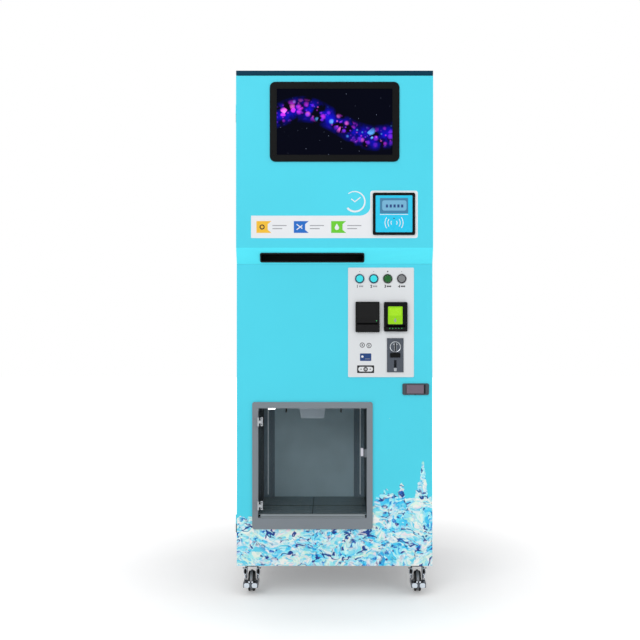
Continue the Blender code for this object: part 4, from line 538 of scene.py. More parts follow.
class Shape:
    """A mesh being made: plates, turned forms and blocks, joined into one piece."""

    def __init__(self) -> None:
        """Start with an empty mesh."""
        self.mesh = bmesh.new()

    def loop(self, outline: Sequence[Point], depth: float, axis: str) -> list[bmesh.types.BMEdge]:
        """Add a closed loop of edges and return them."""
        verts = self.verts(outline, depth, axis)
        return [self.mesh.edges.new((a, b)) for a, b in zip(verts, verts[1:] + verts[:1])]

    def verts(self, outline: Sequence[Point], depth: float, axis: str) -> list[bmesh.types.BMVert]:
        """Add the points of an outline and return them."""
        return [self.mesh.verts.new(to_world(point, depth, axis)) for point in outline]

    def plate(self, outline: Sequence[Point], start: float, end: float, axis: str = "y",
              holes: Iterable[Sequence[Point]] = (), part: int = 0) -> "Shape":
        """Add a plate with any holes.

        Args:
            outline: Its outer edge.
            start: Where it begins along the axis.
            end: Where it ends.
            axis: The axis it is thick along.
            holes: Outlines of its holes.
            part: Index of its material.

        Returns:
            The shape.
        """
        edges = self.loop(outline, start, axis)
        for hole in holes:
            edges += self.loop(hole, start, axis)
        filled = bmesh.ops.triangle_fill(self.mesh, use_beauty=True, edges=edges)["geom"]
        faces = [item for item in filled if isinstance(item, bmesh.types.BMFace)]
        grown = bmesh.ops.extrude_face_region(self.mesh, geom=faces, use_keep_orig=True)["geom"]
        verts = [item for item in grown if isinstance(item, bmesh.types.BMVert)]
        shift = Vector(to_world((0.0, 0.0), end - start, axis))
        bmesh.ops.translate(self.mesh, verts=verts, vec=shift)
        sides = {face for vert in verts for face in vert.link_faces} | set(faces)
        return self.close(list(sides), part)

    def slab(self, middle: Point, width: float, height: float, radius: float, start: float,
             end: float, axis: str = "y", holes: Iterable[Sequence[Point]] = (), part: int = 0,
             steps: int = 6) -> "Shape":
        """Add a plate with round corners; the sizes are those of rounded_outline and plate."""
        outline = rounded_outline(middle, width, height, radius, steps)
        return self.plate(outline, start, end, axis, holes, part)

    def block(self, low: Corner, high: Corner, part: int = 0) -> "Shape":
        """Add a block between two corners."""
        outline = [(low[0], low[2]), (high[0], low[2]), (high[0], high[2]), (low[0], high[2])]
        return self.plate(outline, low[1], high[1], "y", part=part)

    def turned(self, profile: Sequence[Point], middle: Point, axis: str, steps: int = 32,
               part: int = 0) -> "Shape":
        """Add a closed form turned about an axis.

        Args:
            profile: Radius and place along the axis, from one end to the other.
            middle: Where the axis stands, across it.
            axis: x, y or z.
            steps: Sides of the form.
            part: Index of its material.

        Returns:
            The shape.
        """
        rings = []
        for radius, along in profile:
            outline = ring_outline(middle, radius, steps) if radius > TIP else [middle]
            rings.append(self.verts(outline, along, axis))
        faces = []
        for near, far in zip(rings, rings[1:]):
            for step in range(steps):
                after = (step + 1) % steps
                if len(near) == 1:
                    corners = [near[0], far[step], far[after]]
                elif len(far) == 1:
                    corners = [near[step], far[0], near[after]]
                else:
                    corners = [near[step], far[step], far[after], near[after]]
                faces.append(self.mesh.faces.new(corners))
        faces += [self.mesh.faces.new(ring) for ring in (rings[0], rings[-1]) if len(ring) > 1]
        return self.close(faces, part)

    def rod(self, middle: Point, start: float, end: float, radius: float, axis: str,
            steps: int = 24, part: int = 0) -> "Shape":
        """Add a round bar."""
        return self.turned([(radius, start), (radius, end)], middle, axis, steps, part)

    def ring(self, profile: Sequence[Point], middle: Point, axis: str, steps: int = 48,
             part: int = 0, start: float = 0.0, turn: float = math.tau) -> "Shape":
        """Add a ring, or a stretch of one: a closed profile turned about an axis it doesn't touch.

        Args:
            profile: Radius and place along the axis of each corner of the profile.
            middle: Where the axis stands, across it.
            axis: x, y or z.
            steps: Chords along the ring.
            part: Index of its material.
            start: Angle that it starts at.
            turn: Angle that it runs through.

        Returns:
            The shape.
        """
        whole = turn >= math.tau
        rows = []
        for step in range(steps if whole else steps + 1):
            angle = start + turn * step / steps
            rows.append([self.mesh.verts.new(to_world(polar(middle, radius, angle), along, axis))
                         for radius, along in profile])
        faces = [] if whole else [self.mesh.faces.new(rows[0]), self.mesh.faces.new(rows[-1])]
        for near, far in zip(rows, rows[1:] + (rows[:1] if whole else [])):
            for index in range(len(profile)):
                after = (index + 1) % len(profile)
                corners = [near[index], far[index], far[after], near[after]]
                faces.append(self.mesh.faces.new(corners))
        return self.close(faces, part)

    def pipe(self, path: Sequence[Corner], radius: float, sides: int = 14,
             part: int = 0) -> "Shape":
        """Add a round pipe along a path, its corners rounded by a soft bend.

        Args:
            path: Its corners.
            radius: Its radius.
            sides: Facets around it.
            part: Index of its material.

        Returns:
            The shape.
        """
        points = soft_path([Vector(point) for point in path])
        rings, side = [], Vector((0.31, 0.53, 0.79))
        for before, point, after in zip(points[:1] + points, points, points[1:] + points[-1:]):
            along = (after - before).normalized()
            side = (side - along * side.dot(along)).normalized()
            turn = along.cross(side)
            rings.append([self.mesh.verts.new(point + (side * across + turn * up) * radius)
                          for across, up in ring_outline((0.0, 0.0), 1.0, sides)])
        faces = [self.mesh.faces.new(rings[0]), self.mesh.faces.new(rings[-1])]
        for near, far in zip(rings, rings[1:]):
            for step in range(sides):
                after = (step + 1) % sides
                faces.append(self.mesh.faces.new([near[step], near[after], far[after], far[step]]))
        return self.close(faces, part)

    def close(self, faces: list[bmesh.types.BMFace], part: int) -> "Shape":
        """Turn new faces outwards and give them their material."""
        bmesh.ops.recalc_face_normals(self.mesh, faces=faces)
        for face in faces:
            face.material_index = part
        return self

    def copy_of(self, node: str, part_of: Optional[Callable] = None) -> "Shape":
        """Add a merged copy of a node of the frame, its flat faces whole.

        Args:
            node: The node.
            part_of: Gives a face's material index, from the way it faces and its middle.

        Returns:
            The shape.
        """
        self.mesh.from_mesh(frame["nodes"][node].data)
        bmesh.ops.remove_doubles(self.mesh, verts=self.mesh.verts, dist=0.01 * MM)
        bmesh.ops.dissolve_limit(self.mesh, angle_limit=math.radians(0.6), verts=self.mesh.verts,
                                 edges=self.mesh.edges)
        for face in self.mesh.faces:
            face.material_index = part_of(face.normal, face.calc_center_median()) if part_of else 0
        return self

    def finish(self, name: str, on: str, *finishes: Finish, edge: float = 0.0,
               nodes: Sequence[str] = (), bends: int = 3) -> bpy.types.Object:
        """Turn the mesh into a finished piece on a body.

        Args:
            name: The piece's name.
            on: The body that it rides on, or a node of that body.
            finishes: Finish for each material index.
            edge: Millimetres that its sharp edges are eased by.
            nodes: Nodes of the frame that it stands for.
            bends: Facets across an eased edge.

        Returns:
            The piece.
        """
        data = bpy.data.meshes.new(name)
        self.mesh.to_mesh(data)
        self.mesh.free()
        data.shade_smooth()
        made = added(name, data)
        for used in finishes:
            data.materials.append(used.material())
        if edge:
            bevel = made.modifiers.new("Eased edges", "BEVEL")
            bevel.width = edge * MM
            bevel.segments = bends
            bevel.limit_method = "ANGLE"
            bevel.angle_limit = SMOOTH_ANGLE
            made.modifiers.new("Even shading", "WEIGHTED_NORMAL").keep_sharp = True
            bake(made)
        else:
            data.set_sharp_from_angle(angle=SMOOTH_ANGLE)
        settle(made, on, nodes)
        return made


def added(name: str, data: bpy.types.ID) -> bpy.types.Object:
    """Add an object that shows some data to the scene."""
    made = bpy.data.objects.new(name, data)
    bpy.context.scene.collection.objects.link(made)
    return made


def bake(made: bpy.types.Object) -> None:
    """Replace a piece's mesh by what its modifiers make of it, and drop them.

    Args:
        made: The piece.
    """
    bpy.context.view_layer.update()
    graph = bpy.context.evaluated_depsgraph_get()
    data = bpy.data.meshes.new_from_object(made.evaluated_get(graph), preserve_all_data_layers=True,
                                           depsgraph=graph)
    made.modifiers.clear()
    made.data = data


def settle(made: bpy.types.Object, on: str, nodes: Sequence[str] = ()) -> None:
    """Attach a piece to the body that it rides on, and hide the nodes of the frame that it stands
    for.

    Args:
        made: The piece.
        on: The body that it rides on, or a node of that body.
        nodes: Nodes of the frame that it stands for.
    """
    node = frame["nodes"].get(on)
    body = node["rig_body"] if node else on
    if nodes:
        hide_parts(*nodes)
    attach(made, body)
    LOG.info("%s on %s", made.name, body)


def eased(node: str, edge: float, *finishes: Finish, part_of: Optional[Callable] = None,
          name: str = "") -> bpy.types.Object:
    """Stand a copy of a node in its place, with its edges eased; see copy_of and finish."""
    shape = Shape().copy_of(node, part_of)
    return shape.finish(name or f"{node}_form", node, *finishes, edge=edge, nodes=[node])


def ink(name: str, slot: str, colour: Colour, roughness: float = 0.45) -> Finish:
    """Return a clean plastic finish, for print and small parts."""
    return Finish(name, slot, Surface.PLASTIC, colour, roughness, dust=0.0)


def lens(name: str, slot: str, colour: Colour, roughness: float, glow: float) -> Finish:
    """Return a clean finish that gives some light of its own."""
    return Finish(name, slot, Surface.LIT, colour, roughness, dust=0.0, glow=glow)


def sheet(name: str, slot: str, colour: Colour, roughness: float, gloss: float = 0.3) -> Finish:
    """Return a clean painted sheet's finish."""
    return Finish(name, slot, Surface.PAINT, colour, roughness, dust=0.0, gloss=gloss)


CAP = Finish("Dark teal paint", "cap_paint", Surface.PAINT, (0, 54, 76), 0.5, dust=0.02, gloss=0.1)
WHITE = Finish("White paint", "white_paint", Surface.PAINT, (226, 232, 238), 0.42)
PLATE = sheet("Pale plate paint", "plate_paint", (222, 225, 228), 0.40)
ZINC = Finish("Zinc sheet", "zinc", Surface.BRUSHED, (150, 154, 158), 0.38)
STEEL = Finish("Stainless sheet", "stainless", Surface.PAINT, (150, 172, 182), 0.42, dust=0.02)
FRAME_GREY = Finish("Grey anodised", "frame_grey", Surface.PAINT, (124, 131, 138), 0.38, wear=0.2)
CHROME = Finish("Chrome", "chrome", Surface.CHROME, (164, 168, 173), 0.12, bump=0.03, dust=0.05)
BLACK = Finish("Black plastic", "black_plastic", Surface.PLASTIC, (18, 18, 19), 0.5, dust=0.03,
               gloss=0.15)
SLATE = Finish("Slate cast metal", "dark_metal", Surface.CAST, (66, 72, 80), 0.42, bump=0.25)
SMOKED = Finish("Smoked pane", "smoked_glass", Surface.GLASS, (30, 36, 39), 0.05)
READER = ink("Reader blue", "reader_blue", (36, 200, 238), 0.28)
RUBBER = Finish("Black rubber", "rubber", Surface.RUBBER, (24, 24, 25), 0.72, bump=0.4)
BIN = Finish("White moulded bin", "bin_plastic", Surface.PLASTIC, (218, 224, 226), 0.5)
IRON = Finish("Black iron", "black_iron", Surface.CAST, (28, 29, 31), 0.48, bump=0.5, dust=0.3)
RED = Finish("Red plastic", "red_plastic", Surface.PLASTIC, (190, 30, 28), 0.4)
CAPS = (
    lens("Cyan cap 1", "button_cyan", (58, 222, 232), 0.3, 0.03),
    lens("Cyan cap 2", "button_cyan", (58, 222, 232), 0.3, 0.03),
    ink("Green cap", "button_green", (8, 96, 32), 0.3),
    ink("Grey cap", "button_grey", (128, 130, 132), 0.3),
)


@dataclass
class Studio:
    """Camera, floor, backdrop and soft lights."""

    eye: Corner = (0.0, -4.37, 1.158)
    lens: float = 60.8
    sensor: float = 36.0
    shift: Point = (-0.0228, -0.05625)
    floor_half: float = 9.0
    near_floor: float = 0.6
    far_floor: float = 2.4
    sky: float = 0.60
    lamps: tuple[tuple[str, Corner, Corner, float, float], ...] = (
        ("Key", (-2.2, -4.6, 3.4), (0.0, 0.0, 1.0), 3.0, 78.0),
        ("Fill", (3.2, -4.0, 2.0), (0.0, 0.0, 0.9), 3.0, 34.0),
        ("Top", (0.0, -0.6, 4.6), (0.0, 0.0, 1.0), 3.4, 30.0))

    def build(self) -> None:
        """Build the studio."""
        self.camera()
        self.world()
        self.floor()
        for lamp in self.lamps:
            self.lamp(*lamp)
        bpy.context.scene.view_settings.view_transform = "Standard"

    def camera(self) -> None:
        """Place the camera at the photograph's angle."""
        data = bpy.data.cameras.new("Camera")
        data.lens = self.lens
        data.sensor_width = self.sensor
        data.shift_x, data.shift_y = self.shift
        made = bpy.context.scene.camera = added("Camera", data)
        made.location = self.eye
        made.rotation_euler = (math.pi / 2, 0.0, 0.0)

    def world(self) -> None:
        """White to the camera, glossy and transmission rays, plain soft light to the rest."""
        world = bpy.data.worlds.new("Soft light")
        world.use_nodes = True
        bpy.context.scene.world = world
        tree = NodeTree(world.node_tree)
        back = world.node_tree.nodes["Background"].inputs
        back["Color"].default_value = (1.0, 1.0, 1.0, 1.0)
        tree.feed(back["Strength"], tree.span(tree.seen_rays(), 0.0, 1.0, self.sky, 1.0))

    def floor(self) -> None:
        """Lay the pale floor, which keeps the machine's shadow."""
        half = self.floor_half
        data = bpy.data.meshes.new("Floor")
        corners = [(-half, -half, 0.0), (half, -half, 0.0), (half, half, 0.0), (-half, half, 0.0)]
        data.from_pydata(corners, [], [(0, 1, 2, 3)])
        made = added("Floor", data)
        material, tree, shader, where = new_material("Pale floor", 0.1)
        shade = tree.span(tree.noise(where, 2.0, 3.0), 0.3, 0.7, 0.80, 0.84)
        tree.feed(shader["Base Color"], shade)
        shader["Roughness"].default_value = 0.9
        seen = tree.seen_rays()
        shader["Emission Color"].default_value = (1.0, 1.0, 1.0, 1.0)
        away = tree.add("ShaderNodeVectorMath", {0: where}, operation="LENGTH").outputs["Value"]
        lift = tree.span(away, self.near_floor, self.far_floor, 0.22, 1.0)
        tree.feed(shader["Emission Strength"], tree.product(seen, lift))
        data.materials.append(material)

    def lamp(self, name: str, place: Corner, target: Corner, size: float, power: float) -> None:
        """Hang a soft square lamp.

        Args:
            name: The lamp's name.
            place: Where it hangs.
            target: What it points at.
            size: Its side.
            power: Its power in watts.
        """
        data = bpy.data.lights.new(name, "AREA")
        data.shape = "SQUARE"
        data.size = size
        data.energy = power
        made = added(name, data)
        made.location = place
        aim = Vector(target) - Vector(place)
        made.rotation_euler = aim.to_track_quat("-Z", "Y").to_euler()


@dataclass(frozen=True)
class BandHighlightPaint(Finish):
    """Door paint with a painted highlight: paler on the sloped band, where the panel leans forward.
    """

    # Colour of the painted highlight on the slope; the real paint there is the same cyan as the
    # rest of the door.
    band_highlight: Colour = srgb(84, 236, 255)
    band_low: float = 1.2325
    band_high: float = 1.2915
    band_back: float = -0.3

    def paint_colour(self, tree: NodeTree, where: Socket) -> Value:
        """Return the paint's colour, with a painted highlight on the slope between the two fronts.

        Args:
            tree: The material's tree.
            where: The piece's own coordinates.

        Returns:
            The colour.
        """
        place = tree.split(where)
        above = tree.math("GREATER_THAN", place[2], self.band_low)
        held = tree.product(above, tree.math("LESS_THAN", place[2], self.band_high))
        forward = tree.math("LESS_THAN", place[1], self.band_back)
        # Painted highlight: the slope between the two fronts takes the paler colour.
        return tree.mix(tree.product(held, forward), self.colour, self.band_highlight)


@dataclass(frozen=True)
class SplashPaint(BandHighlightPaint):
    """Door paint with a printed splash of water and ice along its foot."""

    low_edge: float = 0.300
    right_edge: float = 0.392
    right_start: float = 0.125
    print_back: float = -0.3695
    curl: float = 0.11
    jets: tuple[Corner, ...] = (
        (0.185, 0.030, 0.018), (0.248, 0.016, 0.050), (0.322, 0.026, 0.080), (0.330, 0.014, 0.075))
    pale_stops: Stops = (
        (0.04, (92, 206, 236)), (0.20, (160, 238, 244)), (0.38, (226, 250, 236)),
        (0.52, (240, 226, 236)), (0.66, (184, 240, 222)), (0.80, (250, 246, 240)),
        (0.95, (140, 226, 244)))
    wet_stops: Stops = (
        (0.10, (12, 48, 140)), (0.20, (18, 104, 200)), (0.32, (40, 184, 240)),
        (0.52, (92, 224, 250)), (0.72, (206, 250, 250)), (0.92, (66, 204, 248)))

    def strokes(self, tree: NodeTree, where: Socket, scale: float, width: float) -> Socket:
        """Return a mask of thin curved strokes, where a noise crosses its middle."""
        away = tree.apart(tree.noise(where, scale), 0.5)
        return tree.span(away, width * 0.5, width, 1.0, 0.0)

    def facets(self, tree: NodeTree, where: Socket, scale: float, stops: Stops) -> Socket:
        """Return the tints of broken ice: soft cells, each with its own colour."""
        cells = tree.add("ShaderNodeTexVoronoi", {"Vector": where, "Scale": scale}).outputs
        return tree.ramp(tree.split(cells["Color"], "Color")[0], stops)

    def printed(self, tree: NodeTree, bent: Socket, place: Sockets) -> Socket:
        """Return the mask of the print: whole low down, broken into drops along its top.

        Args:
            tree: The material's tree.
            bent: The coordinates, curled.
            place: The coordinates' three parts.

        Returns:
            The mask.
        """
        right = tree.span(place[0], self.right_start, self.right_start + 0.03)
        edge = tree.span(right, 0.0, 1.0, self.low_edge, self.right_edge)
        for middle, width, height in self.jets:
            jet = tree.span(tree.apart(place[0], middle), 0.0, width, height, 0.0)
            edge = tree.math("ADD", edge, jet)
        reach = tree.span(right, 0.0, 1.0, 0.016, 0.050)
        depth = tree.math("DIVIDE", tree.math("SUBTRACT", edge, place[2]), reach)
        cover = tree.span(depth, -0.3, 1.0, 0.22, 0.76)
        drops = tree.noise(bent, 52.0, 4.0, 0.62)
        return tree.span(tree.math("SUBTRACT", cover, drops), -0.012, 0.012)

    def paint_colour(self, tree: NodeTree, where: Socket) -> Value:
        """Return the paint with the splash printed on its front.

        Args:
            tree: The material's tree.
            where: The piece's own coordinates.

        Returns:
            The colour.
        """
        plain = super().paint_colour(tree, where)
        curl = tree.noise(where, 9.0, 3.0, out="Color")
        bent = tree.vector("MULTIPLY_ADD", tree.vector("SUBTRACT", curl, (0.5, 0.5, 0.5)),
                           (self.curl, self.curl, self.curl), where)
        drawn = tree.vector("MULTIPLY", bent, (0.60, 1.0, 1.0))
        place = tree.split(where)
        pale = self.facets(tree, drawn, 104.0, self.pale_stops)
        wet = self.facets(tree, drawn, 128.0, self.wet_stops)
        grain, broad = tree.noise(drawn, 44.0, 4.0, 0.66), tree.noise(drawn, 19.0, 4.0, 0.6)
        splash = tree.mix(tree.span(broad, 0.48, 0.55), pale, wet)
        foam = tree.product(tree.span(grain, 0.51, 0.59), 0.65)
        splash = tree.mix(foam, splash, srgb(250, 248, 246))
        thin = tree.product(self.strokes(tree, drawn, 34.0, 0.030), 0.5)
        splash = tree.mix(thin, splash, srgb(84, 212, 236))
        dark = tree.product(self.strokes(tree, drawn, 27.0, 0.034),
                            tree.math("GREATER_THAN", tree.noise(bent, 24.0), 0.545))
        splash = tree.mix(dark, splash, srgb(14, 58, 138))
        front = tree.math("LESS_THAN", place[1], self.print_back)
        return tree.mix(tree.product(self.printed(tree, bent, place), front), plain, splash)


UPPER_PAINT = BandHighlightPaint("Cyan paint, upper", "cyan_paint", Surface.PAINT, (76, 214, 236), 0.4,
                          dust=0.02)
LOWER_PAINT = SplashPaint("Cyan paint, printed", "cyan_paint", Surface.PAINT, (76, 214, 236), 0.4,
                          dust=0.02)


@dataclass(frozen=True)
class BokehScreen(Finish):
    """Screen that shows soft round lights along a slanting stream on a night blue ground."""

    middle: Point = (0.0, 1.7535)
    palette: Stops = ((0.0, (60, 30, 210)), (0.26, (120, 40, 226)), (0.5, (186, 46, 220)),
                      (0.72, (226, 92, 216)), (0.84, (96, 176, 255)))
    lights: tuple[Corner, ...] = ((35.0, 0.62, 0.20), (56.0, 0.50, 0.20))
    stars: Corner = (62.0, 0.22, 0.10)

    def stream(self, tree: NodeTree, place: Sockets) -> Socket:
        """Return how far a point lies from the stream's middle line."""
        across = tree.math("SUBTRACT", place[0], self.middle[0] + 0.015)
        wave = tree.product(tree.math("SINE", tree.product(across, 12.4)), -0.045)
        tilt = tree.math("MULTIPLY_ADD", across, -0.06, self.middle[1] - 0.0064)
        return tree.apart(place[2], tree.math("ADD", wave, tilt))

    def discs(self, tree: NodeTree, where: Socket, scale: float, size: float,
              soft: float) -> tuple[Socket, Socket]:
        """Return a mask of round lights and a random number for each.

        Args:
            tree: The material's tree.
            where: The piece's own coordinates.
            scale: Cells to a metre.
            size: How much the lights differ in size.
            soft: Width of their soft edge.

        Returns:
            The mask and the number.
        """
        given = {"Vector": where, "Scale": scale, "Randomness": 0.72}
        cells = tree.add("ShaderNodeTexVoronoi", given).outputs
        chance = tree.split(cells["Color"], "Color")
        reach = tree.math("MULTIPLY_ADD", chance[1], size, size * 0.35)
        return tree.span(tree.math("SUBTRACT", reach, cells["Distance"]), 0.0, soft), chance[0]

    def paint_colour(self, tree: NodeTree, where: Socket) -> Value:
        """Return the picture on the screen.

        Args:
            tree: The material's tree.
            where: The piece's own coordinates.

        Returns:
            The colour.
        """
        flat = tree.vector("MULTIPLY", where, (1.0, 0.0, 1.0))
        away = self.stream(tree, tree.split(flat))
        near = tree.span(away, 0.010, 0.040, 1.0, 0.0)
        cloud = tree.noise(flat, 24.0, 3.0)
        haze = tree.product(tree.span(away, 0.0, 0.050, 1.0, 0.0), tree.span(cloud, 0.42, 0.62))
        picture = tree.mix(haze, srgb(1, 2, 12), srgb(14, 12, 170))
        for light in self.lights:
            mask, chance = self.discs(tree, flat, *light)
            kept = tree.math("GREATER_THAN", chance, 0.22)
            held = tree.product(mask, near, kept, 0.8)
            picture = tree.mix(held, picture, tree.ramp(chance, self.palette, constant=True))
        mask, chance = self.discs(tree, flat, *self.stars)
        sparse = tree.product(mask, tree.math("GREATER_THAN", chance, 0.5), 0.75)
        return tree.mix(sparse, picture, srgb(176, 190, 226))


PICTURE = BokehScreen("Screen picture", "screen_glass", Surface.LIT, (4, 4, 26), 0.10, bump=0.0,
                      dust=0.0, glow=0.75, gloss=0.03)
HOUSING = Finish("Screen housing", "black_plastic", Surface.CAST, (44, 46, 50), 0.5, bump=0.3)
GLOSS_BLACK = Finish("Gloss black", "black_plastic", Surface.PLASTIC, (11, 12, 13), 0.3, bump=0.02,
                     dust=0.0, gloss=0.09)
VINYL = ink("White vinyl", "plate_paint", (232, 234, 238))
INK_BLACK = ink("Black ink", "black_plastic", (22, 23, 26), 0.5)
INK_GREY = ink("Grey ink", "black_plastic", (150, 152, 158), 0.5)
INK_NAVY = ink("Navy ink", "black_plastic", (26, 62, 120))
TILE_AMBER = ink("Amber ink", "plate_paint", (242, 190, 52))
TILE_BLUE = ink("Blue ink", "plate_paint", (26, 106, 196))
TILE_GREEN = ink("Green ink", "plate_paint", (104, 200, 44))
LCD = lens("Reader display", "reader_blue", (64, 124, 160), 0.2, 0.04)
LCD_PALE = lens("Reader display, lit", "reader_blue", (112, 172, 204), 0.2, 0.08)


@dataclass
class LabelSheet:
    """White printed sheet round the card reader, with its tiles and the clock above it."""

    front: float = -0.4001
    thick: float = 0.12 * MM
    ink: float = 0.06 * MM
    hole: float = 0.1556
    hole_corner: float = 6.2 * MM
    hole_middle: Point = (0.218, 1.4156)
    strip: tuple[float, float, float] = (-0.3070, 1.3266, 1.4090)
    border: tuple[float, float, float] = (0.3056, 1.5010, 0.1311)
    border_corner: float = 0.009
    sweep: Point = (0.040, 0.032)
    tiles: tuple[float, ...] = (-0.2872, -0.1499, -0.0125)
    tile_size: Point = (0.055, 0.0436)
    tile_low: float = 1.3456
    notch: float = 0.24
    rules: tuple[Point, ...] = ((0.62, 0.052), (0.36, 0.036))
    clock: Point = (0.0745, 1.4602)
    clock_radius: float = 0.0393
    hands: tuple[Point, ...] = ((38, 0.026), (142, 0.017))

    def build(self) -> None:
        """Build the sheet, the tiles and the clock."""
        hole = rounded_outline(self.hole_middle, self.hole, self.hole, self.hole_corner)
        sheet = Shape().plate(self.outline(), self.front - self.thick, self.front, holes=[hole])
        sheet.finish("label_sheet", "door", VINYL)
        for index, colour in enumerate((TILE_AMBER, TILE_BLUE, TILE_GREEN)):
            self.tile(index, colour)
        self.clock_face()

    def outline(self) -> list[Point]:
        """Return the sheet's edge: a long strip that sweeps up into the reader's border.

        Returns:
            The outline's points.
        """
        (left, low, top), (right, peak, inner) = self.strip, self.border
        turns = [step / 8 * math.pi / 2 for step in range(9)]
        sweep = [(inner - self.sweep[0] * (1 - math.sin(turn)),
                  top + self.sweep[1] * (1 - math.cos(turn))) for turn in turns]
        corner = rounded_outline(((inner + right) / 2, (low + peak) / 2), right - inner, peak - low,
                                 self.border_corner)
        steps = len(corner) // 4
        return [(left, low), *corner[steps * 3:], *corner[:steps * 2], *sweep[::-1], (left, top)]

    def tile(self, index: int, colour: Finish) -> None:
        """Print one tile: a notched square with a mark, and two short rules beside it.

        Args:
            index: Which tile it is.
            colour: Its ink.
        """
        wide, high = self.tile_size
        low, left = self.tile_low, self.tiles[index]
        right, middle = left + wide, low + high / 2
        back = self.front - self.thick
        start = back - self.ink
        near = start - self.ink
        inset = right - wide * self.notch
        shape = Shape().plate([(left, low), (right, low), (inset, middle - high * self.notch),
                               (inset, middle + high * self.notch), (right, low + high),
                               (left, low + high)], start, back)
        self.mark(shape, index, (left + wide * 0.38, middle), near, start)
        for row, length in self.rules:
            z = low + high * row
            shape.block((right + 4 * MM, near, z - 1.6 * MM),
                        (right + 4 * MM + length, back, z + 1.6 * MM), part=2)
        mark = VINYL if index else INK_BLACK
        shape.finish(f"label_tile_{index + 1}", "door", colour, mark, INK_GREY)

    def mark(self, shape: Shape, index: int, centre: Point, near: float, start: float) -> None:
        """Print a tile's mark: a ring, two crossed bars or a drop.

        Args:
            shape: The tile.
            index: Which tile it is.
            centre: The mark's middle.
            near: Depth of the mark's face.
            start: Depth of the tile's face.
        """
        if index == 0:
            shape.plate(ring_outline(centre, 9.5 * MM), near, start, part=1,
                        holes=[ring_outline(centre, 5.5 * MM)])
        elif index == 1:
            half = 10.5
            for turn in SIDES:
                bar = offsets(centre, (-half, -turn * half * 0.75), (half, turn * half * 0.75),
                              (half, turn * half * 0.35), (-half, -turn * half * 1.15))
                shape.plate(bar[::turn], near - turn * 0.01 * MM, start, part=1)
        else:
            foot = (centre[0], centre[1] - 3 * MM)
            drop = [polar(foot, 8 * MM, math.radians(30 - 24 * step)) for step in range(11)]
            shape.plate([*offsets(centre, (0, 13)), *drop], near, start, part=1)

    def clock_face(self) -> None:
        """Print the open ring and hands of a clock."""
        start, back = self.front - self.thick, self.front
        outer, inner = [], []
        for step in range(49):
            angle = math.radians(129 - step / 48 * 269)
            thick = (3.0 + step / 48 * 4.5) * MM
            outer.append(polar(self.clock, self.clock_radius, angle))
            inner.append(polar(self.clock, self.clock_radius - thick, angle))
        shape = Shape().plate(outer + inner[::-1], start, back)
        for angle, length in self.hands:
            along = Vector(polar((0.0, 0.0), 1.0, math.radians(angle)))
            side = Vector((-along.y, along.x)) * 1.8 * MM
            foot = Vector(self.clock) - along * 2 * MM
            tip = Vector(self.clock) + along * length
            corners = [foot - side, tip - side, tip + side, foot + side]
            shape.plate([tuple(corner) for corner in corners], start - angle * 1e-6, back)
        shape.finish("label_clock", "door", VINYL)


@dataclass
class CardReader:
    """Contactless reader: black frame, blue face, small display and the wave marks."""

    middle: Point = (0.218, 1.4156)
    side: float = 0.155
    frame_width: float = 9.8 * MM
    rear_side: float = 0.1295
    front: float = -0.4063
    back: float = -0.4003
    face_drop: float = 0.8 * MM
    lcd_half: float = 0.0518
    lcd_rise: Point = (1 * MM, 58 * MM)
    waves: tuple[float, ...] = (0.0125, 0.0240, 0.0345)
    wave_width: float = 2.6 * MM
    wave_drop: float = 33 * MM

    def build(self) -> None:
        """Build the reader."""
        on, face, middle = "card_reader", self.side - self.frame_width * 2, self.middle
        hole = rounded_outline(middle, face, face, 3 * MM)
        frame_ring = Shape().slab(middle, self.side, self.side, 6 * MM, self.front, self.back,
                                  holes=[hole])
        frame_ring.finish("reader_frame", on, GLOSS_BLACK, edge=1.0, nodes=[on])
        level = self.front + self.face_drop
        Shape().slab(middle, face - 0.2 * MM, face - 0.2 * MM, 2.9 * MM, level,
                     self.back).finish("reader_face", on, READER, edge=0.3)
        Shape().slab(middle, self.rear_side, self.rear_side, 3 * MM, self.back,
                     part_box(on)[1].y).finish("reader_housing", on, HOUSING, edge=0.6)
        self.display(on, level)
        self.wave_marks(on, level)

    def display(self, on: str, level: float) -> None:
        """Build the small display with its pale field, its marks and the rule under it.

        Args:
            on: The body that it rides on.
            level: Depth of the face.
        """
        x, z = self.middle
        wide, low, high = self.lcd_half, z + self.lcd_rise[0], z + self.lcd_rise[1]
        middle = (low + high) / 2
        lcd = Shape().slab((x, middle), wide * 2, high - low, 3 * MM, level - 0.25 * MM, level)
        lcd.slab((x + 1 * MM, middle + 1 * MM), wide * 1.72, (high - low) * 0.66, 8 * MM,
                 level - 0.35 * MM, level - 0.25 * MM, part=1)
        for step in range(5):
            at = x - 0.030 + step * 0.014
            lcd.block((at, level - 0.45 * MM, z + 23 * MM), (at + 8 * MM, level - 0.35 * MM,
                                                            z + 34 * MM), part=2)
        lcd.block((x - wide, level - 0.3 * MM, low - 4.5 * MM), (x + wide, level, low - 2.5 * MM),
                  part=3)
        lcd.finish("reader_display", on, LCD, LCD_PALE, INK_NAVY, VINYL)

    def wave_marks(self, on: str, level: float) -> None:
        """Print the arcs on either side of a small lens.

        Args:
            on: The body that it rides on.
            level: Depth of the face.
        """
        x, z = self.middle[0], self.middle[1] - self.wave_drop
        marks = Shape()
        for radius in self.waves:
            for side in (0, 180):
                turns = [math.radians(side - 36 + step * 6) for step in range(13)]
                outer = [polar((x, z), radius, turn) for turn in turns]
                inner = [polar((x, z), radius - self.wave_width, turn) for turn in turns]
                marks.plate(outer + inner[::-1], level - 0.15 * MM, level)
        marks.rod((x, z + 16 * MM), level - 0.5 * MM, level, 2.2 * MM, "y", part=1)
        marks.finish("reader_waves", on, VINYL, INK_BLACK)


RINGS = (ink("Teal ring 1", "button_cyan", (0, 66, 90), 0.35),
         ink("Teal ring 2", "button_cyan", (0, 66, 90), 0.35),
         ink("Green ring", "button_green", (2, 40, 16), 0.35),
         ink("Dark ring", "button_grey", (44, 42, 48), 0.35))


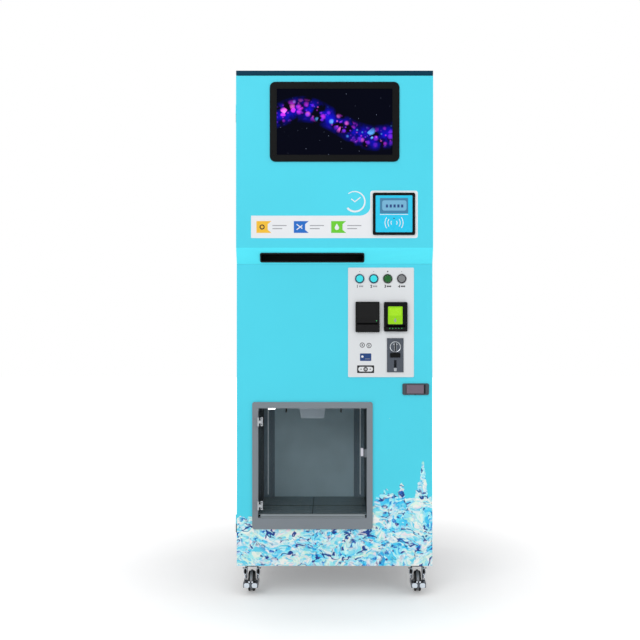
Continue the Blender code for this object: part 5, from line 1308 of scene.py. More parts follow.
@dataclass
class ControlPanel:
    """Pale plate with four buttons and the signs for coins, cards and notes."""

    columns: tuple[float, ...] = (0.09295, 0.14465, 0.19635, 0.24805)
    row: float = 1.1776
    front: float = -0.3728
    rim: float = 17.8 * MM
    well: float = 12.70 * MM
    ring_front: float = -0.3760
    cap: float = 12.5 * MM
    cap_front: float = -0.3793
    dome: float = 1.5 * MM
    ink: float = 0.12 * MM
    number_size: float = 0.0145
    number_place: Point = (9 * MM, 0.0330)
    dot_rise: float = 0.0265
    sign_x: float = 0.1148
    coins: tuple[Point, ...] = ((-1, 0.9322), (1, 0.9305))
    card_z: float = 0.8875
    note_z: float = 0.8430

    def build(self) -> None:
        """Build the plate, the buttons and the signs."""
        eased("control_panel_plate", 0.7, PLATE)
        for index, x in enumerate(self.columns):
            self.button(index, x)
            self.number(index, x)
        self.signs()

    def button(self, index: int, x: float) -> None:
        """Build one button at its place across the plate: a ring and a domed cap.

        Args:
            index: Which button it is.
            x: Its place across the plate.
        """
        centre, front, plate = (x, self.row), self.ring_front, self.front
        profile = [(self.well, plate), (self.well, front + 0.6 * MM), (self.well + 0.6 * MM, front),
                   (self.rim - 1.6 * MM, front - 0.1 * MM), (self.rim, front + 1.0 * MM),
                   (self.rim, plate)]
        Shape().ring(profile, centre, "y").finish(f"button_ring_{index + 1}", "door", RINGS[index])
        node, face = f"button_{index + 1}", self.cap_front
        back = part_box(node)[1].y
        dome = [(self.cap * step / 7, face + self.dome * (step / 7) ** 2) for step in range(8)]
        cap = Shape().turned([*dome, (self.cap, face + 2.2 * MM), (self.cap, back), (0.0, back)],
                             centre, "y", 40)
        cap.finish(f"{node}_cap", node, CAPS[index], nodes=[node])

    def number(self, index: int, x: float) -> None:
        """Print a button's number with three short bars under it, and a dot above it.

        Args:
            index: Which button it is.
            x: Its place across the plate.
        """
        plate, start = self.front, self.front - self.ink
        mark = bpy.data.curves.new("mark", "FONT")
        mark.body = str(index + 1)
        mark.size = self.number_size
        mark.offset = 0.45 * MM
        mark.align_x = "CENTER"
        mark.extrude = self.ink / 2
        text = added("mark", mark)
        bpy.context.view_layer.update()
        graph = bpy.context.evaluated_depsgraph_get()
        data = bpy.data.meshes.new_from_object(text.evaluated_get(graph))
        left, low = x - self.number_place[0], self.row - self.number_place[1]
        data.transform(Matrix.Translation((left, plate - self.ink / 2, low))
                       @ Matrix.Rotation(math.pi / 2, 4, "X"))
        bpy.data.objects.remove(text)
        sign = Shape()
        sign.mesh.from_mesh(data)
        for step in range(3):
            at = left + 6.5 * MM + step * 5.4 * MM
            sign.block((at, start, low + 2.0 * MM), (at + 4.4 * MM, plate, low + 7.6 * MM),
                       int(index < 2))
        dot = 2.6 * MM if index == 2 else 1.2 * MM
        sign.rod((x, self.row + self.dot_rise), start, plate, dot, "y", 16)
        sign.finish(f"button_mark_{index + 1}", "door", INK_BLACK, INK_GREY)

    def signs(self) -> None:
        """Print two coins, a card and a banknote."""
        plate, start, x = self.front, self.front - self.ink, self.sign_x
        shape = Shape()
        for side, z in self.coins:
            centre = (x + side * 12.5 * MM, z)
            shape.plate(ring_outline(centre, 9.4 * MM), start, plate,
                        holes=[ring_outline(centre, 6.9 * MM)])
            shape.block((centre[0] - 2.0 * MM, start, z - 4 * MM),
                        (centre[0] + 1.6 * MM, plate, z + 4 * MM))
        shape.finish("sign_coins", "door", INK_BLACK)
        z = self.card_z
        card = Shape().slab((x, z), 42 * MM, 28 * MM, 2.5 * MM, start, plate)
        card.rod((x - 12 * MM, z + 2 * MM), start - self.ink, start, 4.2 * MM, "y", 20, 1)
        card.block((x - 2 * MM, start - self.ink, z - 7.5 * MM),
                   (x + 16 * MM, start, z - 5.7 * MM), 2)
        card.finish("sign_card", "door", INK_NAVY, VINYL, INK_GREY)
        z = self.note_z
        note = Shape().slab((x, z), 63 * MM, 28.5 * MM, 2 * MM, start, plate,
                            holes=[rounded_outline((x, z), 54 * MM, 17.5 * MM, 8 * MM)])
        note.plate(ring_outline((x, z), 8.2 * MM), start, plate,
                   holes=[ring_outline((x, z), 3.9 * MM)])
        for side in SIDES:
            note.rod((x + side * 17 * MM, z), start, plate, 2.2 * MM, "y", 16)
        note.block((x - 1 * MM, start, z - 2.6 * MM), (x + 1 * MM, plate, z + 2.6 * MM))
        note.finish("sign_note", "door", INK_BLACK)


SATIN_BLACK = Finish("Satin black", "black_plastic", Surface.PLASTIC, (19, 19, 20), 0.5, bump=0.25,
                     dust=0.0, gloss=0.12)
DEEP_BLACK = Finish("Deep black", "black_plastic", Surface.PLASTIC, (8, 8, 9), 0.6, dust=0.0,
                    gloss=0.1)
LIME = lens("Lime window", "plate_paint", (140, 204, 6), 0.25, 0.12)
LIME_PALE = lens("Lime window, bright", "plate_paint", (156, 216, 22), 0.25, 0.14)
LED_GREEN = lens("Green lamp", "button_green", (70, 210, 110), 0.2, 0.8)
COIN_SLATE = Finish("Slate plate", "dark_metal", Surface.CAST, (74, 80, 90), 0.40, bump=0.2,
                    wear=0.3)
MAUVE = Finish("Latch grey", "dark_metal", Surface.PLASTIC, (112, 98, 112), 0.4, dust=0.05)

FORWARD = (0.0, -1.0, 0.0)
BACKWARD = (0.0, 1.0, 0.0)
UPWARD = (0.0, 0.0, 1.0)
DOWNWARD = (0.0, 0.0, -1.0)


def pair(middle: float, reach: float) -> Point:
    """Return the two values at a reach from a middle."""
    return middle - reach, middle + reach


def crossings(facing: Corner, xs: Iterable[float], ys: Sequence[float],
              zs: Sequence[float]) -> Places:
    """Return every crossing of three rows of places, each with the way it faces."""
    return [((x, y, z), facing) for x in xs for y in ys for z in zs]


def row_of(middle: Corner, step: float, count: int, facing: Corner) -> Places:
    """Return equal places along x, centred on a point.

    Args:
        middle: The middle of the row.
        step: From one place to the next.
        count: How many places.
        facing: The way that each detail faces.

    Returns:
        The places, each with its facing.
    """
    x, y, z = middle
    xs = [x + step * (index - (count - 1) / 2) for index in range(count)]
    return crossings(facing, xs, [y], [z])


@dataclass
class Scatter:
    """Equal details on given places, made by Geometry Nodes and kept as plain mesh."""

    name: str
    places: Places

    def sizes(self) -> dict[str, float]:
        """Return the named sizes of one detail."""
        raise NotImplementedError

    def detail(self, nodes: NodeTree, given: Sockets) -> Socket:
        """Add the nodes that draw one detail from the group's inputs."""
        raise NotImplementedError

    def tree(self, finish: Finish) -> bpy.types.NodeTree:
        """Return the node tree that sets one detail on each point.

        Args:
            finish: The details' finish.

        Returns:
            The tree.
        """
        made = bpy.data.node_groups.new(type(self).__name__, "GeometryNodeTree")
        made.interface.new_socket("Points", in_out="INPUT", socket_type="NodeSocketGeometry")
        for label in self.sizes():
            made.interface.new_socket(label, in_out="INPUT", socket_type="NodeSocketFloat")
        made.interface.new_socket("Details", in_out="OUTPUT", socket_type="NodeSocketGeometry")
        nodes = NodeTree(made)
        given = nodes.add("NodeGroupInput").outputs
        shape = self.detail(nodes, given)
        facing = nodes.add("GeometryNodeInputNamedAttribute", {"Name": "facing"},
                           data_type="FLOAT_VECTOR").outputs["Attribute"]
        turn = nodes.add("FunctionNodeAlignRotationToVector", {"Vector": facing},
                         axis="Z").outputs[0]
        points = nodes.add("GeometryNodeMeshToPoints", {"Mesh": given["Points"]}).outputs[0]
        instances = {"Points": points, "Instance": shape, "Rotation": turn}
        copies = nodes.add("GeometryNodeInstanceOnPoints", instances).outputs[0]
        real = nodes.add("GeometryNodeRealizeInstances", {"Geometry": copies}).outputs[0]
        dressed = nodes.add("GeometryNodeSetMaterial", {"Geometry": real})
        dressed.inputs["Material"].default_value = finish.material()
        nodes.add("NodeGroupOutput", {"Details": dressed.outputs[0]})
        return made

    def build(self, finish: Finish, on: str) -> bpy.types.Object:
        """Build the details as one piece.

        Args:
            finish: Their finish.
            on: The body they ride on, or a node of that body.

        Returns:
            The piece.
        """
        data = bpy.data.meshes.new(self.name)
        data.from_pydata([place for place, _ in self.places], [], [])
        facing = data.attributes.new("facing", "FLOAT_VECTOR", "POINT")
        facing.data.foreach_set("vector", [part for _, way in self.places for part in way])
        made = added(self.name, data)
        modifier = made.modifiers.new("Details", "NODES")
        modifier.node_group = self.tree(finish)
        for item in modifier.node_group.interface.items_tree:
            if item.item_type == "SOCKET" and item.name in self.sizes():
                modifier[item.identifier] = self.sizes()[item.name]
        bake(made)
        made.data.shade_smooth()
        made.data.set_sharp_from_angle(angle=SMOOTH_ANGLE)
        settle(made, on)
        return made


@dataclass
class Fasteners(Scatter):
    """Domed screw heads or studs with a round recess; their sizes are in millimetres."""

    radius: float = 4.0
    height: float = 1.8
    recess: float = 0.45
    sides: int = 20
    skirt: float = 0.55
    crown: float = 0.74
    least_recess: float = 0.02

    def sizes(self) -> dict[str, float]:
        """Return the named sizes of one head."""
        return {"Head radius": self.radius * MM, "Head height": self.height * MM,
                "Recess share": max(self.recess, self.least_recess),
                "Recess depth": -self.height * MM * 0.6 * self.recess}

    def detail(self, nodes: NodeTree, given: Sockets) -> Socket:
        """Add the nodes that draw one head.

        Args:
            nodes: The tree to add them to.
            given: The group's inputs.

        Returns:
            The detail's geometry.
        """

        def grow(mesh: Socket, top: Optional[Socket], offset: Value) -> Sockets:
            """Extrude the top face."""
            found = {"Mesh": mesh, "Offset Scale": offset, "Individual": False}
            if top:
                found["Selection"] = top
            return nodes.add("GeometryNodeExtrudeMesh", found, mode="FACES").outputs

        def shrink(step: Sockets, share: Value) -> Socket:
            """Scale the top face of an extrusion."""
            found = {"Geometry": step["Mesh"], "Selection": step["Top"], "Scale": share}
            return nodes.add("GeometryNodeScaleElements", found).outputs[0]

        size = {"Vertices": self.sides, "Radius": given["Head radius"]}
        height = given["Head height"]
        disc = nodes.add("GeometryNodeMeshCircle", size, fill_type="NGON").outputs[0]
        skirt = grow(disc, None, nodes.product(height, self.skirt))
        dome = grow(skirt["Mesh"], skirt["Top"], nodes.product(height, 1 - self.skirt))
        rim = grow(shrink(dome, self.crown), dome["Top"], 0.0)
        cup = shrink(rim, given["Recess share"])
        return grow(cup, rim["Top"], given["Recess depth"])["Mesh"]


@dataclass
class Blades(Scatter):
    """Thin upright fins or bars."""

    size: Corner = (0.5 * MM, 2.0 * MM, 40 * MM)

    def sizes(self) -> dict[str, float]:
        """Return the named sizes of one blade."""
        return dict(zip(("Thickness", "Depth", "Length"), self.size))

    def detail(self, nodes: NodeTree, given: Sockets) -> Socket:
        """Add the nodes that draw one blade."""
        sides = {index: given[label] for index, label in enumerate(self.sizes())}
        size = nodes.add("ShaderNodeCombineXYZ", sides).outputs[0]
        return nodes.add("GeometryNodeMeshCube", {"Size": size}).outputs[0]


@dataclass
class Louvres(Scatter):
    """Pressed lips that hood the slots of a vent."""

    length: float = 0.124
    drop: float = 0.011
    depth: float = 3.6 * MM
    sheet: float = 0.7 * MM
    squareness: float = 10.0

    def sizes(self) -> dict[str, float]:
        """Return the named sizes of one lip."""
        return {"Length": self.length, "Drop": self.drop, "Depth": self.depth, "Sheet": self.sheet}

    def detail(self, nodes: NodeTree, given: Sockets) -> Socket:
        """Add the nodes that curve a strip outwards and close its two ends.

        Args:
            nodes: The tree to add them to.
            given: The group's inputs.

        Returns:
            The detail's geometry.
        """
        field = {"Size X": given["Length"], "Size Y": given["Drop"], "Vertices X": 25,
                 "Vertices Y": 7}
        grid = nodes.add("GeometryNodeMeshGrid", field).outputs[0]
        place = nodes.split(nodes.add("GeometryNodeInputPosition").outputs[0])
        along = nodes.math("ABSOLUTE", nodes.math("DIVIDE", nodes.product(place[0], 2.0),
                                                  given["Length"]))
        closed = nodes.math("SUBTRACT", 1.0, nodes.math("POWER", along, self.squareness))
        down = nodes.math("ADD", nodes.math("DIVIDE", place[1], given["Drop"]), 0.5)
        curve = nodes.math("SINE", nodes.product(down, math.pi / 2))
        out = nodes.product(curve, closed, given["Depth"])
        offset = nodes.add("ShaderNodeCombineXYZ", {2: out}).outputs[0]
        moved = {"Geometry": grid, "Offset": offset}
        curved = nodes.add("GeometryNodeSetPosition", moved).outputs[0]
        grown = {"Mesh": curved, "Offset Scale": given["Sheet"], "Individual": False}
        thick = nodes.add("GeometryNodeExtrudeMesh", grown, mode="FACES").outputs[0]
        under = nodes.add("GeometryNodeFlipFaces", {"Mesh": curved}).outputs[0]
        both = nodes.add("GeometryNodeJoinGeometry")
        for part in (thick, under):
            nodes.tree.links.new(part, both.inputs[0])
        merged = {"Geometry": both.outputs[0], "Distance": 0.01 * MM}
        return nodes.add("GeometryNodeMergeByDistance", merged).outputs[0]


@dataclass
class ReceiptPrinter:
    """Panel printer with its lid, paper slot, tear teeth and lamp."""

    x: float = 0.1216
    front: float = -0.3831
    teeth: int = 9
    tooth: float = 6.4

    def build(self) -> None:
        """Build the printer."""
        eased("receipt_printer", 0.9, SATIN_BLACK)
        eased("printer_lid", 1.2, SATIN_BLACK)
        on, x = "printer_lid", self.x
        low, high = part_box(on)
        lid = Shape()
        for step in range(3):
            z = low.z + 7.5 * MM + step * 3.4 * MM
            lid.block((low.x + 9 * MM, low.y - 0.5 * MM, z),
                      (high.x - 9 * MM, low.y + 0.4 * MM, z + 1.5 * MM))
        lid.slab((x, low.z + 3.2 * MM), 30 * MM, 3.4 * MM, 1.6 * MM, low.y - 0.8 * MM,
                 low.y + 0.3 * MM)
        lid.finish("printer_lid_grip", on, SATIN_BLACK, edge=0.25)
        lamp = Shape().rod((x + 33 * MM, low.z + 6 * MM), low.y - 0.6 * MM, low.y + 0.3 * MM,
                           1.5 * MM, "y", 16)
        lamp.finish("printer_lamp", on, LED_GREEN)
        middle = (x, self.front + 1.6 * MM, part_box("receipt_printer")[0].z + 2.2 * MM)
        places = row_of(middle, self.tooth * MM * 1.28, self.teeth, FORWARD)
        Fasteners("printer_teeth", places, self.tooth / 2, 3.4, 0.0).build(SATIN_BLACK,
                                                                          "receipt_printer")


@dataclass
class BillValidator:
    """Note acceptor: black bezel, lit window and the curved lip under its mouth."""

    x: float = 0.2255
    front: float = -0.3861
    window_shift: float = 1.8 * MM
    window_low: float = 1.0098
    window_high: float = 1.0752
    window_width: float = 0.0535
    lip_low: float = 0.9925
    lip_half: float = 0.0345
    lip_steps: int = 14

    def build(self) -> None:
        """Build the acceptor."""
        on = "bill_validator"
        eased(on, 1.6, GLOSS_BLACK)
        x, wide = self.x - self.window_shift, self.window_width
        height = self.window_high - self.window_low
        front, middle = self.front, (x, (self.window_low + self.window_high) / 2)
        near, level = front - 0.62 * MM, front - 0.5 * MM
        window = Shape().slab(middle, wide, height, 3 * MM, level, front + 0.5 * MM)
        window.slab((x, middle[1] + 13 * MM), wide * 0.8, height * 0.42, 3 * MM, near, level,
                    part=1)
        arrow = offsets((x, self.window_low + 13 * MM), (-6, 1), (0, -7), (6, 1), (2.4, 1),
                        (2.4, 8), (-2.4, 8), (-2.4, 1))
        window.plate(arrow, near, level, part=2)
        window.finish("validator_window", on, LIME, LIME_PALE, INK_GREY, edge=0.2)
        hole = rounded_outline(middle, wide + 0.4 * MM, height + 0.4 * MM, 3 * MM)
        rim = Shape().slab(middle, wide + 5 * MM, height + 5 * MM, 5 * MM, front - 0.9 * MM,
                           front + 0.4 * MM, holes=[hole])
        rim.finish("validator_rim", on, SATIN_BLACK, edge=0.3)
        self.lip(on)

    def lip(self, on: str) -> None:
        """Build the curved lip that guides a note into the mouth, and the lamps along it.

        Args:
            on: The body that it rides on.
        """
        low, front = self.lip_low, self.front
        shares = [step / self.lip_steps * 2 - 1 for step in range(self.lip_steps + 1)]
        outline = [(self.x + share * self.lip_half, low - 6 * MM * (1 - share * share))
                   for share in shares]
        back = [(x, low + 5.0 * MM) for x, _ in reversed(outline)]
        lip = Shape().plate(outline + back, front - 1.6 * MM, front + 0.4 * MM)
        lip.finish("validator_lip", on, SATIN_BLACK, edge=0.5)
        places = row_of((self.x, front - 1.6 * MM, low + 2.2 * MM), 11 * MM, 5, FORWARD)
        Fasteners("validator_lamps", places, 1.1, 0.5, 0.0).build(LED_GREEN, on)


@dataclass
class CoinAcceptor:
    """Coin mechanism's front: slate plate, chrome ring, reject button and return slot."""

    middle: Point = (0.2242, 0.8948)
    front: float = -0.3761
    ring_z: float = 0.9258
    ring: float = 20.3 * MM
    ring_front: float = -0.3801
    tongue_z: float = 0.8360

    def build(self) -> None:
        """Build the coin mechanism's front."""
        on = "coin_acceptor"
        eased(on, 0.8, COIN_SLATE)
        eased("coin_reject_button", 1.2, GLOSS_BLACK)
        x, z, front = self.middle[0], self.ring_z, self.ring_front
        profile = offsets((self.ring, front), (-2.6, 1.5), (-2.6, -0.2), (-1.2, -0.8), (0.4, 0.6),
                          (0.4, 1.5))
        Shape().ring(profile, (x, z), "y", 56).finish("coin_ring", on, CHROME)
        guides = Shape()
        for side in SIDES:
            wedge = offsets((x, z), (side * 2.6, 14.5), (side * 9.5, 8.5), (side * 2.6, 5.5))
            bar = offsets((x, z), (side * 2.6, -14), (side * 4.2, -14), (side * 4.2, 4.5),
                          (side * 2.6, 4.5))
            guides.plate(wedge[::side], front - 0.9 * MM, front + 0.3 * MM)
            guides.plate(bar[::side], front - 0.7 * MM, front + 0.3 * MM)
        guides.finish("coin_guides", on, CHROME, edge=0.25)
        tongue = offsets((x, self.tongue_z), (-4.4, 0), (4.4, 0), (5.6, 11.5), (-5.6, 11.5))
        Shape().plate(tongue, self.front - 1.2 * MM,
                      self.front + 0.3 * MM).finish("coin_tongue", on, CHROME, edge=0.4)
        corners = crossings(FORWARD, pair(x, 26.5 * MM), [self.front],
                            pair(self.middle[1], 58 * MM))
        Fasteners("coin_screws", corners, 2.2, 1.0).build(SLATE, on)


@dataclass
class DoorLock:
    """Recessed paddle latch with its cam."""

    key_shift: float = 14 * MM
    tab_x: float = 0.2977

    def build(self) -> None:
        """Build the latch."""
        eased("lock_housing", 1.4, SLATE)
        eased("lock_paddle", 0.8, MAUVE)
        eased("lock_cam", 0.4, ZINC)
        low, _, (x, _, z) = extent("lock_paddle")
        profile = offsets((0, low.y), (0, -0.8), (3.6, -0.8), (4.2, -0.3), (4.2, 0.5), (0, 0.5))
        key = Shape().turned(profile, (x - self.key_shift, z), "y", 28)
        key.finish("lock_key_barrel", "lock_paddle", MAUVE)
        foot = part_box("lock_housing")[0]
        tab = Shape().rod((self.tab_x, foot.z + 1.2 * MM), foot.y - 0.5 * MM, foot.y + 0.3 * MM,
                          2.0 * MM, "y", 16)
        tab.finish("lock_indicator", "door", DEEP_BLACK)


@dataclass(frozen=True)
class SeamedSteel(Finish):
    """Sheet with one seam along it and one across, each a thin dark line."""

    half: float = 1.6 * MM
    seams: tuple[Corner, ...] = ((0, -0.0826, 1.0), (1, -0.2029, 3.4))

    def paint_colour(self, tree: NodeTree, where: Socket) -> Value:
        """Return the sheet's colour with the two seams in it."""
        place = tree.split(where)
        lines = [tree.span(tree.apart(place[axis], at), self.half * wide, self.half * wide * 1.4,
                           0.7, 0.0) for axis, at, wide in self.seams]
        return tree.mix(tree.math("MAXIMUM", *lines), self.colour, srgb(16, 20, 24))


# The chamber's one stainless lining in four colours by the way each face looks: painted light on
# the back, painted half shade on the bends, painted shade on the near-black sides and on the floor
# and roof.
CHAMBER_BACK_LIT = sheet("Chamber back sheet, painted light", "stainless", (190, 220, 232), 0.45, 0.2)
CHAMBER_BEND_HALF_SHADE = sheet("Chamber bend sheet, painted half shade", "stainless", (116, 136, 148), 0.4, 0.2)
CHAMBER_SIDE_SHADE = sheet("Chamber side sheet, painted shade", "stainless", (14, 15, 20), 0.4, 0.08)
CHAMBER_FLOOR_SHADE = sheet("Chamber floor sheet, painted shade", "stainless", (128, 146, 152), 0.45, 0.15)
GRILLE_STEEL = SeamedSteel("Grille steel", "stainless", Surface.BRUSHED, (132, 150, 156), 0.45,
                           dust=0.0, gloss=0.15)
# Pale strip that glows though it is no lamp: a painted highlight along the chamber's back corners.
CORNER_HIGHLIGHT = lens("Corner highlight strip", "stainless", (196, 208, 214), 0.3, 0.2)
CHUTE_STEEL = sheet("Chute sheet", "stainless", (196, 212, 224), 0.4)
LAMP_WHITE = lens("Lamp lens", "plate_paint", (250, 252, 255), 0.3, 5.0)
HINGE_METAL = Finish("Hinge metal", "chrome", Surface.CAST, (172, 176, 180), 0.3, bump=0.1,
                     dust=0.0)
CATCH_METAL = Finish("Catch metal", "frame_grey", Surface.CAST, (196, 196, 206), 0.35, dust=0.0)
RAIL_GREY = sheet("Rail grey", "frame_grey", (134, 142, 147), 0.35)
# Darker copy of the rail grey: painted shade on the rail's flat faces and its lower lip.
RAIL_SHADE = sheet("Rail grey, painted shade", "frame_grey", (74, 80, 84), 0.4)
HOOK_BLACK = ink("Hook black", "black_plastic", (30, 34, 36), 0.4)


@dataclass
class IceOutlet:
    """Glazed outlet: frame, swinging pane on two hinges, and the chamber behind it, lit by its lamp
    and with painted light and shade on its sheets.
    """

    left: float = -0.2829
    right: float = 0.1191
    bend: float = 0.041
    roof: float = 0.7045
    back: float = 0.0046
    proud: float = -0.3765
    leaves: tuple[Point, ...] = ((0.3234, 0.3554), (0.6330, 0.6650))
    leaf_sides: Point = (-0.2857, -0.268)
    highlight_low: float = 0.312
    lamp: Point = (-0.2371, -0.296)
    hooks: tuple[float, ...] = (-0.188, 0.025)
    hook_y: float = -0.150
    hook_reach: Point = (-0.178, -0.148)
    hook_tip: float = -0.176
    guard_foot: tuple[Point, ...] = ((-0.1290, 0.6425), (-0.0410, 0.6425))
    guard_sides: Point = (-0.1410, -0.0320)
    guard_depth: Point = (-0.2100, -0.2056)
    catch: Point = (0.1012, 0.5365)

    def build(self) -> None:
        """Build the outlet."""
        eased("outlet_frame", 1.0, FRAME_GREY, HINGE_METAL, part_of=self.leaf)
        eased("outlet_chamber", 0.6, CHAMBER_BACK_LIT, CHAMBER_BEND_HALF_SHADE, CHAMBER_SIDE_SHADE, CHAMBER_FLOOR_SHADE,
              part_of=self.sheet, name="chamber_lining")
        self.corner_highlights()
        self.bag_side()
        self.pane()
        eased("drip_grille", 0.5, GRILLE_STEEL)
        eased("ice_chute", 0.8, CHUTE_STEEL)

    def leaf(self, _: Vector, place: Vector) -> int:
        """Return 1 for a face of the hinge leaves that stand on the frame, else 0."""
        held = any(low - 0.6 * MM < place.z < high + 0.6 * MM for low, high in self.leaves)
        return int(held and self.leaf_sides[0] < place.x < self.leaf_sides[1]
                   and place.y < self.proud)

    def sheet(self, way: Vector, place: Vector) -> int:
        """Return the number of the chamber's sheet colour by the way that a face looks; the four
        colours are painted light and shade on one stainless lining.

        Args:
            way: The way that the face looks.
            place: The face's middle.

        Returns:
            The number.
        """
        if abs(way.z) > 0.7:
            return 3
        if abs(way.x) > 0.9:
            return 2
        return int(abs(way.x) > 0.3 and place.y > -0.1)

    def corner_highlights(self) -> None:
        """Add glowing strips in the chamber's back corners, a painted highlight along each bend,
        and the chute's guard.
        """
        corner_highlights = Shape()
        for side, edge in ((1, self.left), (-1, self.right)):
            share = self.bend * 0.36
            corner = (edge + side * (share + 1.4 * MM), self.back - self.bend + share - 2.0 * MM)
            corner_highlights.plate(offsets(corner, (-2.1, 0), (0, -2.1), (2.1, 0), (0, 2.1)), self.highlight_low,
                        self.roof - 8 * MM, "z")
        corner_highlights.finish("chamber_corner_highlights", "cabinet", CORNER_HIGHLIGHT, edge=0.3)
        left, right = [(x, self.roof - 1 * MM) for x in self.guard_sides]
        guard = Shape().plate([left, *self.guard_foot, right], *self.guard_depth)
        guard.finish("chute_guard", "cabinet", CHUTE_STEEL, edge=0.8)

    def bag_side(self) -> None:
        """Add the lamp and the two bag hooks under the chamber's roof."""
        roof, y = self.roof, self.hook_y
        lamp = Shape().slab(self.lamp, 0.046, 0.030, 5 * MM, roof - 8 * MM, roof - 0.4 * MM, "z",
                            part=1)
        lamp.slab(self.lamp, 0.026, 0.020, 5 * MM, roof - 18 * MM, roof - 7.6 * MM, "z")
        lamp.finish("chamber_lamp", "cabinet", LAMP_WHITE, HOOK_BLACK, edge=1.2)
        hooks = Shape()
        for x in self.hooks:
            hooks.slab((x, y), 0.024, 0.016, 3 * MM, roof - 3 * MM, roof - 0.4 * MM, "z")
            hooks.rod((x, y), roof - 42 * MM, roof - 2.6 * MM, 3.0 * MM, "z", 16)
            hooks.rod((x, roof - 42 * MM), *self.hook_reach, 3.0 * MM, "y", 16)
            hooks.rod((x, self.hook_tip), roof - 44 * MM, roof - 30 * MM, 3.0 * MM, "z", 16)
        hooks.finish("bag_hooks", "cabinet", HOOK_BLACK)

    def pane(self) -> None:
        """Dress the pane, its rail and hinges, and add the rail's two lips, the hinges' clamps and
        screws, and the catch plate; the rail's lower lip and its flat faces are painted shade.
        """
        on, rail = "outlet_pane", "outlet_rail"
        eased(on, 0.6, SMOKED)
        # The rail's up- and down-facing faces take the darker grey, a painted shade; the front
        # faces keep the rail's own grey.
        eased(rail, 1.0, RAIL_GREY, RAIL_SHADE, part_of=lambda way, _: int(abs(way.z) > 0.7))
        low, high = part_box(rail)
        lip = Shape()
        lip.block((low.x + 1 * MM, low.y - 0.8 * MM, low.z + 4.4 * MM),
                  (high.x - 1 * MM, low.y + 0.4 * MM, low.z + 5.6 * MM), 1)
        lip.block((low.x + 1 * MM, low.y - 0.6 * MM, high.z - 3.4 * MM),
                  (high.x - 1 * MM, low.y + 0.4 * MM, high.z - 1.0 * MM))
        lip.finish("outlet_rail_lips", on, RAIL_GREY, RAIL_SHADE, edge=0.2)
        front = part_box(on)[0].y
        for node in ("outlet_hinge_upper", "outlet_hinge_lower"):
            eased(node, 0.6, HINGE_METAL)
            _, high, (_, _, middle) = extent(node)
            x, near = high.x - 0.4 * MM, front - 2.6 * MM
            clamp = Shape().slab((x, middle), 8.4 * MM, 32 * MM, 1.5 * MM, near, front - 0.15 * MM)
            clamp.finish(f"{node}_clamp", on, HINGE_METAL, edge=0.6)
            places = crossings(FORWARD, [x], [near], pair(middle, 10.6 * MM))
            Fasteners(f"{node}_screws", places, 2.2, 0.9).build(SLATE, on)
        catch = Shape().slab(self.catch, 0.0092, 0.030, 2 * MM, front - 2.0 * MM, front - 0.15 * MM)
        catch.finish("outlet_catch", on, CATCH_METAL, edge=0.5)


ZINC_CAST = Finish("Zinc plated steel", "zinc", Surface.CAST, (128, 132, 136), 0.38, bump=0.3,
                   dust=0.3)
# Chrome darkened below its own colour: a painted dark reflection on the fork, the pedal and its
# rib.
SHADED_CHROME = Finish("Caster chrome, painted dark reflection", "chrome", Surface.CHROME, (92, 96, 103), 0.22, bump=0.05,
                       dust=0.05)
CHEEK_CHROME = Finish("Cheek chrome", "chrome", Surface.CHROME, (172, 178, 186), 0.2, bump=0.04,
                      dust=0.04)
# Chrome lightened above its own colour: a painted highlight on the pedal's pads and studs and on
# the axle nuts.
HIGHLIGHT_CHROME = Finish("Chrome, painted highlight", "chrome", Surface.CHROME, (218, 224, 232), 0.16, bump=0.03,
                       dust=0.02)
HUB_GREY = Finish("Hub grey", "rubber", Surface.CAST, (136, 138, 143), 0.4, dust=0.15)


